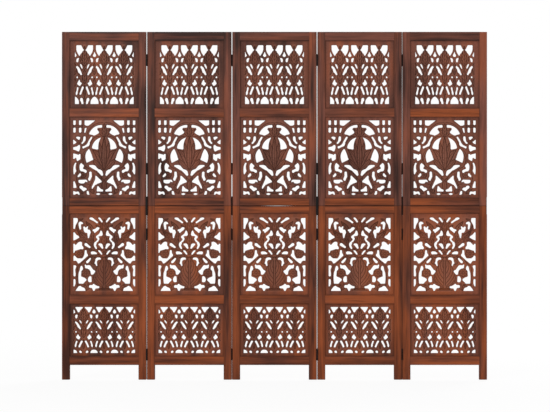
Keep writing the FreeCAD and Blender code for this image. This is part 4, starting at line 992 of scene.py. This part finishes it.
def path_distance(places, start, end):
    """Each place's distance to the nearest of many straight sides, in batches."""
    run = end - start
    squared = (run ** 2).sum(1)
    batches = []
    for batch in np.array_split(places, max(1, len(places) * len(start) // PAIRS_AT_ONCE)):
        x = batch[:, :1] - start[:, 0]
        z = batch[:, 1:] - start[:, 1]
        share = np.clip((x * run[:, 0] + z * run[:, 1]) / squared, 0, 1)
        batches.append(np.sqrt(((x - share * run[:, 0]) ** 2 + (z - share * run[:, 1]) ** 2).min(1)))
    return np.concatenate(batches)


def is_odd_inside(places, start, end):
    """True where a place is inside the loops whose sides are given, by counting the sides to its right."""
    x, z = places[:, :1], places[:, 1:]
    rising = (start[:, 1] > z) != (end[:, 1] > z)
    rise = np.where(end[:, 1] == start[:, 1], 1, end[:, 1] - start[:, 1])
    crossing = start[:, 0] + (z - start[:, 1]) / rise * (end[:, 0] - start[:, 0])
    return (rising & (x < crossing)).sum(1) % 2 == 1


def plane_triangles(loops, free):
    """Triangles over the wood between the loops, using the loops' places and the free ones."""
    places = np.concatenate([*loops, free])
    first = np.cumsum([0] + [len(loop) for loop in loops])
    sides = np.concatenate([
        np.stack([np.arange(len(loop)), np.roll(np.arange(len(loop)), -1)], 1) + start
        for loop, start in zip(loops, first)])
    made, _, faces, *_ = delaunay_2d_cdt(places.tolist(), sides.tolist(), [], 0, 1e-6)
    if len(made) != len(places):
        raise RuntimeError(f"the triangulation made {len(made)} places of {len(places)}")
    faces = np.array(faces)
    rim = np.nonzero((faces < first[-1]).all(1))[0]
    hole_start = np.concatenate(loops[1:])
    hole_end = np.concatenate([np.roll(loop, -1, 0) for loop in loops[1:]])
    middles = places[faces[rim]].mean(1)
    hit = np.concatenate([is_odd_inside(batch, hole_start, hole_end)
                          for batch in np.array_split(middles, max(1, len(middles) // PLACES_AT_ONCE))])
    kept = np.ones(len(faces), bool)
    kept[rim[hit]] = False
    return faces[kept]


def valleys(depth, faces):
    """How much deeper each place lies than the mean of the places that share a triangle with it."""
    total, count = np.zeros(len(depth)), np.zeros(len(depth))
    for here, there in ((0, 1), (1, 2), (2, 0), (1, 0), (2, 1), (0, 2)):
        total += np.bincount(faces[:, here], depth[faces[:, there]], len(depth))
        count += np.bincount(faces[:, here], minlength=len(depth))
    return depth - total / np.maximum(count, 1)


def rounding_rings(holes, arris):
    """Places on rings round the holes, over their rounded edges, and their distances to the holes.

    A ring's place is its hole's place moved into the wood. Those that another side of a hole comes
    too near to are left out.
    """
    start = np.concatenate(holes)
    end = np.concatenate([np.roll(loop, -1, 0) for loop in holes])
    before = np.concatenate([np.roll(loop, 1, 0) for loop in holes])
    chord = end - before
    inward = np.stack([-chord[:, 1], chord[:, 0]], 1) / np.linalg.norm(chord, axis=1)[:, None]
    rings, gaps = [], []
    for share in RING_SHARES:
        ring = start + inward * share * arris
        reached = path_distance(ring, start, end)
        sound = reached > SOUND_SHARE * share * arris
        rings.append(ring[sound])
        gaps.append(reached[sound])
    rings, gaps = np.concatenate(rings), np.concatenate(gaps)
    _, lone = np.unique((rings / LEAST_SPACING).round(), axis=0, return_index=True)
    return rings[lone], gaps[lone]


def board_fields(places, kind, box, gap, faces, arris, share):
    """A face's depth, its darkening by dirt and painted shade, and its wear and painted highlight at its
    places.

    The depth is a share of the carving's plus, within the arris of a hole, the quarter circle
    R - sqrt(R^2 - (R - d)^2) at the distance d from the hole. What the darkening and the wear follow
    is said beside their values.
    """
    cut = carving(places, kind, *box) * share
    close = np.clip(1 - gap / arris, 0, 1)
    depth = cut + arris * (1 - np.sqrt(1 - close ** 2))
    dip = valleys(cut, faces)
    edge, within = inset(places, kind, *box)
    # Painted shade: darker beside the frame, where the board sits back, and beside each piercing.
    frame_shade = FRAME_SHADE * np.clip((FRAME_SHADE_END - edge) / FRAME_SHADE_FADE, 0, 1)
    sawn_shade = SAWN_SHADE * np.clip(1 - gap / SAWN_SHADE_REACH, 0, 1)
    # Wax, dust and painted shade darken what is cut down and the lines below their surroundings.
    darkening = np.clip(CUT_DIRT_AND_SHADE * cut / CUT_DIRT_AND_SHADE_DEPTH + dip / LINE_DIRT_AND_SHADE_DEPTH + frame_shade + sawn_shade, 0, 1)
    high = HIGH_WEAR * np.clip((gap - HIGH_WEAR_START) / HIGH_WEAR_RISE, 0, 1)
    high = high * np.clip(1 - cut / HIGH_WEAR_CUT, 0, 1) * (PLAIN_SHARE + (1 - PLAIN_SHARE) * within)
    sawn = SAWN_WEAR * np.clip(1 - np.abs(gap - SAWN_WEAR_PLACE) / SAWN_WEAR_REACH, 0, 1)
    # Wear with a painted highlight lightens the lines that stand above their surroundings.
    ridge = np.clip(-dip / RIDGE_HEIGHT, 0, RIDGE_WEAR_AND_HIGHLIGHT)
    return depth, darkening, np.maximum(np.maximum(sawn, high), ridge) * (1 - darkening)


def board_shape(kind):
    """A pierced board with rounded sawn edges, carved on both faces.

    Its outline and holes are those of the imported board. Both faces are height fields over the wood,
    and straight walls join them. Carved places are spaced finely and plain ones coarsely. Lengths are
    in millimetres here, and metres when they are handed back.
    """
    arris = bpy.context.scene.carved_screen_sizes.sawn_arris / MM
    name = f"panel_3_{kind}_insert"
    low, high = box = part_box(name)
    corners = node_points(name).reshape(-1, 3, 3) / MM
    front = corners[(corners[:, :, 1] < low.y / MM + 0.01).all(1)][:, :, [0, 2]]
    outline, *holes = sorted(boundary_loops(front), key=lambda loop: -abs(signed_area(loop)))
    loops = [respaced(outline, OUTLINE_SPACING, 0)]
    loops += [respaced(loop, HOLE_SPACING, TURN_WEIGHT) for loop in holes]
    # Wood lies on the left: the outline runs anticlockwise and the holes clockwise.
    loops = [loop if (signed_area(loop) > 0) == (place == 0) else loop[::-1]
             for place, loop in enumerate(loops)]
    holes = loops[1:]
    rings, ring_gap = rounding_rings(holes, arris)
    xs = np.arange(low.x / MM, high.x / MM + GAP_STEP, GAP_STEP)
    zs = np.arange(low.z / MM, high.z / MM + GAP_STEP, GAP_STEP)
    room = clearance(inside_holes(holes, xs, zs), GAP_STEP, GAP_REACH)
    lines = carved_lines(kind, low, high)

    def gap_at(places):
        """Each place's distance to the nearest hole, from the grid of distances."""
        column = np.clip(((places[..., 0] - xs[0]) / GAP_STEP).round().astype(int), 0, len(xs) - 1)
        row = np.clip(((places[..., 1] - zs[0]) / GAP_STEP).round().astype(int), 0, len(zs) - 1)
        return room[row, column]

    def grid_places(cell, least_bend):
        """Places of a grid in the wood, kept where the carving bends or on every few rows, and drawn
        onto the carving's lines where these pass close by."""
        grid_x = np.arange(low.x / MM + PLAIN_BORDER, high.x / MM - PLAIN_BORDER, cell)
        grid_z = np.arange(low.z / MM + PLAIN_BORDER, high.z / MM - PLAIN_BORDER, cell)
        places = np.stack(np.meshgrid(grid_x, grid_z), 2)
        depth = carving(places.reshape(-1, 2), kind, low, high).reshape(places.shape[:2])
        bend = np.zeros_like(depth)
        bend[1:-1, 1:-1] = (np.abs(depth[2:, 1:-1] + depth[:-2, 1:-1] - 2 * depth[1:-1, 1:-1])
                            + np.abs(depth[1:-1, 2:] + depth[1:-1, :-2] - 2 * depth[1:-1, 1:-1]))
        rows, columns = np.indices(depth.shape)
        wanted = (bend > least_bend) | ((rows % PLAIN_ROWS == 0) & (columns % PLAIN_ROWS == 0))
        kept = places[wanted & (gap_at(places) > RING_SHARES[-1] * arris + 0.45 * cell)]
        moved = drawn_onto(kept, lines, 0.5 * cell)
        clear = gap_at(moved) > RING_SHARES[-1] * arris + 0.25 * cell
        kept = np.where(clear[:, None], moved, kept)
        _, lone = np.unique((kept / (0.42 * cell)).round(), axis=0, return_index=True)
        kept = kept[np.sort(lone)]
        return kept, gap_at(kept)

    rim = np.concatenate(loops)
    rim_gap = np.concatenate([np.full(len(loops[0]), FAR), np.zeros(len(rim) - len(loops[0]))])
    several = BOARDS[kind][1] > 1
    sheets = []
    for *cells, share in FACE_GRIDS:
        grid, grid_gap = grid_places(cells[several], cells[2 + several])
        free = np.concatenate([rings, grid])
        faces = plane_triangles(loops, free)
        places = np.concatenate([rim, free])
        gap = np.concatenate([rim_gap, ring_gap, grid_gap])
        sheets.append((places, faces, *board_fields(places, kind, box, gap, faces, arris, share)))
    return joined_faces(loops, rim_gap == 0, sheets, low.y / MM, high.y / MM)


def joined_faces(loops, sawn, sheets, front, back):
    """A front and a back face with straight walls between them, through a row of places half way,
    which wander a little on the sawn walls."""
    front_places, front_faces, front_depth, *front_fields = sheets[0]
    back_places, back_faces, back_depth, *back_fields = sheets[1]
    rim = np.concatenate(loops)
    wobble = SAWN_WANDER * np.sin(rim[:, 0] * 1.9 + rim[:, 1] * 1.3) * sawn
    points = np.concatenate([
        np.stack([front_places[:, 0], front + front_depth, front_places[:, 1]], 1),
        np.stack([rim[:, 0] + wobble, np.full(len(rim), (front + back) / 2), rim[:, 1]], 1),
        np.stack([back_places[:, 0], back - back_depth, back_places[:, 1]], 1)])
    middle, behind = len(front_places), len(front_places) + len(rim)
    first = np.cumsum([0] + [len(loop) for loop in loops])
    here = np.arange(len(rim))
    after = np.concatenate([np.roll(np.arange(len(loop)), -1) + begin
                            for loop, begin in zip(loops, first)])
    walls = []
    for near, far in ((0, middle), (middle, behind)):
        walls.append(np.stack([here + near, here + far, after + far], 1))
        walls.append(np.stack([here + near, after + far, after + near], 1))
    triangles = np.concatenate([front_faces, back_faces[:, ::-1] + behind, *walls])
    # The sawn walls are darker and carry no wear.
    fields = {
        field: np.concatenate([front_field, np.full(len(rim), on_wall), back_field])
        for field, front_field, on_wall, back_field
        in zip(("dirt_and_shade", "wear_and_highlight"), front_fields, (SAWN_WALL_DARKENING, 0.0), back_fields)}
    return points * MM, faced_outwards(points, triangles), fields


def add_boards(kind):
    """The five boards of one pattern, each set into its panel."""
    points, triangles, fields = board_shape(kind)
    home = sum(corner.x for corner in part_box(f"panel_3_{kind}_insert")) / 2
    wood = stained_wood(f"stained_carved_hardwood_{kind}", UPRIGHT, CARVED_FIGURE)
    tone, warmth = BOARD_TONES[kind]
    draw = np.random.default_rng(len(kind))
    for panel in PANELS:
        name = f"panel_{panel}_{kind}_insert"
        low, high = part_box(name)
        moved = points + [(low.x + high.x) / 2 - home, 0, 0]
        shade = tone + ODD_BOARDS.get((kind, panel), 0) + draw.uniform(-TONE_SPREAD, TONE_SPREAD)
        heat = warmth + draw.uniform(-WARMTH_SPREAD, WARMTH_SPREAD)
        own = {**fields, "tone": np.full(len(points), shade), "warmth": np.full(len(points), heat)}
        make_piece(f"{kind}_board_{panel}", moved, triangles, own, wood,
                   f"panel_{panel}", name)


def is_outer(panel, side):
    """Whether a panel's side is an end of the screen, where no hinges are."""
    return (panel, side) in ((1, -1), (5, 1))


def stile_housings(panel, side, across, swell, leaves):
    """The housings in a stile's edge: of the joining plate in an outer edge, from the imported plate's
    box, and elsewhere of the hinge leaves, as deep as the edge stands into the gap."""
    if is_outer(panel, side):
        low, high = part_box(f"panel_{panel}_joining_plate")
        cut = high.x - across[0] if side < 0 else across[1] - low.x
        return [(side, cut, low.z - HOUSING_PLAY, high.z + HOUSING_PLAY)]
    return [(side, swell, start - HOUSING_PLAY, end + HOUSING_PLAY) for start, end in leaves]


def half_stiles(panel, half):
    """The two stiles of a half frame: each one's beam, tone and warmth.

    Dirt and painted shade darken the arrises beside the hinge leaves, the ends are darker round the
    seam, and painted shade darkens the arrises that face the board and the gap.
    """
    sizes = bpy.context.scene.carved_screen_sizes
    low, high, centre, shoulder, _ = frame_lines(panel, half)
    ends, seam = (sizes.foot_arris, SEAM_END_ARRIS), high.z
    if half == "upper":
        ends, seam = (SEAM_END_ARRIS, TOP_END_ARRIS), low.z
    tone, warmth = STILE_TONES[half]
    stiles = []
    for side in (-1, 1):
        leaves = [(start, end) for start, end in leaf_spans(panel, side)
                  if start < high.z and end > low.z]
        gap = panel - 2 if side < 0 else panel - 1
        swell = sizes.swell * SWELLS[half][gap] if leaves else 0
        across = sorted((centre + side * shoulder, centre + side * (high.x - centre + swell)))
        # Dirt and painted shade beside the hinge leaves, darker ends at the seam, and painted shade on the
        # arrises that face the board and, where hinges are, the gap.
        darkened_runs = [(side, 1.0, start, end) for start, end in leaves]
        darkened_runs += [(0, 1.0, seam - SEAM_DARKENING, seam + SEAM_DARKENING), (-side, ARRIS_SHADE, low.z, high.z)]
        if leaves:
            darkened_runs.append((side, ARRIS_SHADE, low.z, high.z))
        stile = beam(
            (low.z, high.z), across, high.y - low.y, UPRIGHT, (sizes.frame_arris, *ends),
            seed=100 * panel + 10 * (half == "upper") + side + 5,
            housings=stile_housings(panel, side, across, swell, leaves), darkened_runs=darkened_runs)
        stiles.append((stile, tone + ODD_STILES.get((panel, half, side), 0), warmth))
    return stiles


def half_rails(panel, half):
    """The three rails of a half frame, from the lowest: each one's beam, tone and warmth.

    Painted shade darkens their arrises, and they are darkest along the seam. Two meeting rails have bowed
    apart.
    """
    sizes = bpy.context.scene.carved_screen_sizes
    low, high, centre, shoulder, levels = frame_lines(panel, half)
    seam_side, seam = (1, high.z) if half == "lower" else (-1, low.z)
    reach = shoulder + 0.8 * sizes.frame_arris
    rails = []
    for place, level in enumerate(levels):
        # Painted shade along the arrises that face the boards, darkest along the seam.
        darkened_runs = [(side, ARRIS_SHADE, centre - reach, centre + reach) for side in (-1, 1)]
        bow = None
        if min(abs(level[0] - seam), abs(level[1] - seam)) < MM:
            darkened_runs.append((seam_side, 1.0, centre - reach, centre + reach))
            if panel == BOWED_PANEL:
                bow = (seam_side, sizes.seam_bow)
        rail = beam(
            (centre - reach, centre + reach), level, high.y - low.y - RAIL_PLAY, LEVEL,
            (sizes.frame_arris, RAIL_END_ARRIS, RAIL_END_ARRIS),
            seed=1000 * panel + 10 * (half == "upper") + place, bow=bow, darkened_runs=darkened_runs)
        tone, warmth = RAIL_TONES[half][place]
        rails.append((rail, tone + ODD_RAILS.get((panel, half, place), 0), warmth))
    return rails


def add_frame_pieces(kind, half_beams, grain_axis):
    """The stiles, or the rails, of every half frame."""
    wood = stained_wood(f"stained_planed_hardwood_{kind}", grain_axis, 1.0)
    for panel in PANELS:
        for half in ("lower", "upper"):
            beams, tones, warmths = zip(*half_beams(panel, half))
            points, triangles = joined_arrays([shape[:2] for shape in beams])
            counts = [len(shape[0]) for shape in beams]
            fields = {"tone": np.repeat(tones, counts), "warmth": np.repeat(warmths, counts),
                      "wear_and_highlight": np.concatenate([shape[2] for shape in beams]),
                      "dirt_and_shade": np.concatenate([shape[3] for shape in beams])}
            make_piece(f"{half}_{kind}_{panel}", points, triangles, fields, wood,
                       f"panel_{panel}", f"panel_{panel}_{half}_{kind}")


class CARVEDSCREEN_OT_stiles(bpy.types.Operator):
    """Makes the stiles, the upright beams of the frames."""

    bl_idname = "carved_screen.stiles"
    bl_label = "Stiles"

    def execute(self, context):
        add_frame_pieces("stiles", half_stiles, UPRIGHT)
        return {"FINISHED"}


class CARVEDSCREEN_OT_rails(bpy.types.Operator):
    """Makes the rails, the level beams of the frames."""

    bl_idname = "carved_screen.rails"
    bl_label = "Rails"

    def execute(self, context):
        add_frame_pieces("rails", half_rails, LEVEL)
        return {"FINISHED"}


class CARVEDSCREEN_OT_friezes(bpy.types.Operator):
    """Makes the top boards, with their row of buds and slits."""

    bl_idname = "carved_screen.friezes"
    bl_label = "Friezes"

    def execute(self, context):
        add_boards("frieze")
        return {"FINISHED"}


class CARVEDSCREEN_OT_lotus_boards(bpy.types.Operator):
    """Makes the boards with the lotus."""

    bl_idname = "carved_screen.lotus_boards"
    bl_label = "Lotus boards"

    def execute(self, context):
        add_boards("lotus")
        return {"FINISHED"}


class CARVEDSCREEN_OT_tree_boards(bpy.types.Operator):
    """Makes the boards with the flowering tree."""

    bl_idname = "carved_screen.tree_boards"
    bl_label = "Tree boards"

    def execute(self, context):
        add_boards("tree")
        return {"FINISHED"}


class CARVEDSCREEN_OT_borders(bpy.types.Operator):
    """Makes the lowest boards, with their row of buds and slits."""

    bl_idname = "carved_screen.borders"
    bl_label = "Borders"

    def execute(self, context):
        add_boards("border")
        return {"FINISHED"}


class CARVEDSCREEN_OT_ironwork(bpy.types.Operator):
    """Finishes the hinges, joining plates and screws as blackened iron."""

    bl_idname = "carved_screen.ironwork"
    bl_label = "Ironwork"

    def execute(self, context):
        iron = blackened_iron()
        for row in frame["record"]["subparts"]:
            if row["material_slot"] == "blackened_iron":
                mesh_slots = frame["nodes"][row["node"]].material_slots
                for mesh_slot in mesh_slots:
                    mesh_slot.material = iron
                if not mesh_slots:
                    raise RuntimeError(f"{row['node']} has no material slot")
        return {"FINISHED"}


def seen_share(tree):
    """A socket that is 1 where the camera sees a surface directly, in a reflection or through glass."""
    seen = add_node(tree, "ShaderNodeLightPath").outputs
    share = seen["Is Camera Ray"]
    for way in ("Is Glossy Ray", "Is Transmission Ray"):
        share = add_node(tree, "ShaderNodeMath", {0: share, 1: seen[way]}, operation="MAXIMUM").outputs[0]
    return share


def add_floor():
    """A matt white floor that keeps the screen's shadow and turns plain white further away."""
    mesh = bpy.data.meshes.new("floor")
    corners = np.array([(-1, -1, 0), (1, -1, 0), (1, 1, 0), (-1, 1, 0)], float) * FLOOR_REACH
    mesh.from_pydata(corners, [], [(0, 1, 2, 3)])
    floor = bpy.data.objects.new("floor", mesh)
    bpy.context.scene.collection.objects.link(floor)
    made, tree = new_material("matt_white_floor")
    place = add_node(tree, "ShaderNodeTexCoord").outputs["Object"]
    away = add_node(tree, "ShaderNodeVectorMath", {0: place}, operation="LENGTH").outputs["Value"]
    plain = add_node(tree, "ShaderNodeMapRange", {
        "Value": away, "From Min": WHITE_START, "From Max": WHITE_FULL,
        "To Min": bpy.context.scene.carved_screen_stage.floor_white, "To Max": 1.0}).outputs[0]
    share = add_node(tree, "ShaderNodeMath", {0: seen_share(tree), 1: plain}, operation="MULTIPLY")
    matt = add_node(tree, "ShaderNodeBsdfDiffuse", {"Color": (0.9, 0.9, 0.9, 1)})
    white = add_node(tree, "ShaderNodeEmission", {"Color": (1, 1, 1, 1), "Strength": 1.0})
    both = add_node(tree, "ShaderNodeMixShader", {
        0: share.outputs[0], 1: matt.outputs[0], 2: white.outputs[0]})
    add_node(tree, "ShaderNodeOutputMaterial", {"Surface": both.outputs[0]})
    mesh.materials.append(made)


def add_room():
    """A plain white background and an even light from all round."""
    world = bpy.data.worlds.new("room")
    bpy.context.scene.world = world
    world.use_nodes = True
    tree = world.node_tree
    tree.nodes.clear()
    room, plain = (add_node(tree, "ShaderNodeBackground", {"Color": (1, 1, 1, 1), "Strength": strength})
                   for strength in (bpy.context.scene.carved_screen_stage.room, 1.0))
    both = add_node(tree, "ShaderNodeMixShader", {
        0: seen_share(tree), 1: room.outputs[0], 2: plain.outputs[0]})
    add_node(tree, "ShaderNodeOutputWorld", {"Surface": both.outputs[0]})


def add_light(name, place, size, power, aim):
    """A square soft light at a place, turned to its aim."""
    light = bpy.data.lights.new(name, "AREA")
    light.size, light.energy = size, power
    lamp = bpy.data.objects.new(name, light)
    bpy.context.scene.collection.objects.link(lamp)
    lamp.location = place
    lamp.rotation_euler = (aim - lamp.location).to_track_quat("-Z", "Y").to_euler()


def add_camera(front):
    """A camera that looks level along +Y, at its distance from the screen's front."""
    settings = bpy.context.scene.carved_screen_stage
    lens = bpy.data.cameras.new("camera")
    lens.sensor_fit = "HORIZONTAL"
    lens.sensor_width = SENSOR_WIDTH
    lens.lens = SENSOR_WIDTH * settings.camera_distance / settings.picture_width
    lens.clip_end = 100
    camera = bpy.data.objects.new("camera", lens)
    bpy.context.scene.collection.objects.link(camera)
    camera.location = (CAMERA_ACROSS, front - settings.camera_distance, CAMERA_UP)
    camera.rotation_euler = (math.radians(90), 0, 0)
    bpy.context.scene.camera = camera


class CARVEDSCREEN_OT_stage(bpy.types.Operator):
    """Sets the floor, the lights, the white background and the camera."""

    bl_idname = "carved_screen.stage"
    bl_label = "Stage"

    def execute(self, context):
        settings = context.scene.carved_screen_stage
        low, high = (Vector(corner) for corner in CAD_BOUNDS)
        add_floor()
        add_room()
        add_light("key_light", KEY_PLACE, KEY_SIZE, settings.key, (low + high) / 2)
        add_light("back_light", BACK_PLACE, BACK_SIZE, settings.back, (low + high) / 2)
        add_camera(low.y)
        context.scene.view_settings.view_transform = "Standard"
        return {"FINISHED"}


PIECE_OPERATORS = [
    CARVEDSCREEN_OT_stiles, CARVEDSCREEN_OT_rails, CARVEDSCREEN_OT_friezes, CARVEDSCREEN_OT_lotus_boards,
    CARVEDSCREEN_OT_tree_boards, CARVEDSCREEN_OT_borders, CARVEDSCREEN_OT_ironwork, CARVEDSCREEN_OT_stage,
]


class CARVEDSCREEN_PT_panel(bpy.types.Panel):
    """Lists the pieces, the sizes and the colours."""

    bl_label = "Carved screen"
    bl_idname = "CARVEDSCREEN_PT_panel"
    bl_space_type = "VIEW_3D"
    bl_region_type = "UI"
    bl_category = "Carved screen"

    def draw(self, context):
        for operator in PIECE_OPERATORS:
            self.layout.operator(operator.bl_idname)
        for group in (context.scene.carved_screen_sizes, context.scene.carved_screen_colours,
                      context.scene.carved_screen_stage):
            box = self.layout.box()
            for name in group.bl_rna.properties.keys():
                if name not in ("rna_type", "name"):
                    box.prop(group, name)


GROUPS = {
    "carved_screen_sizes": CARVEDSCREEN_PG_sizes,
    "carved_screen_colours": CARVEDSCREEN_PG_colours,
    "carved_screen_stage": CARVEDSCREEN_PG_stage,
}


def register():
    """Registers the classes and hangs the settings on the scene."""
    for made in (*GROUPS.values(), *PIECE_OPERATORS, CARVEDSCREEN_PT_panel):
        bpy.utils.register_class(made)
    for name, group in GROUPS.items():
        setattr(bpy.types.Scene, name, bpy.props.PointerProperty(type=group))


def unregister():
    """Takes the settings and the classes away again."""
    for name in GROUPS:
        delattr(bpy.types.Scene, name)
    for made in (CARVEDSCREEN_PT_panel, *reversed(PIECE_OPERATORS), *GROUPS.values()):
        bpy.utils.unregister_class(made)


def main():
    register()
    bpy.ops.carved_screen.stiles()
    bpy.ops.carved_screen.rails()
    bpy.ops.carved_screen.friezes()
    bpy.ops.carved_screen.lotus_boards()
    bpy.ops.carved_screen.tree_boards()
    bpy.ops.carved_screen.borders()
    bpy.ops.carved_screen.ironwork()
    bpy.ops.carved_screen.stage()


if __name__ == "__main__":
    main()
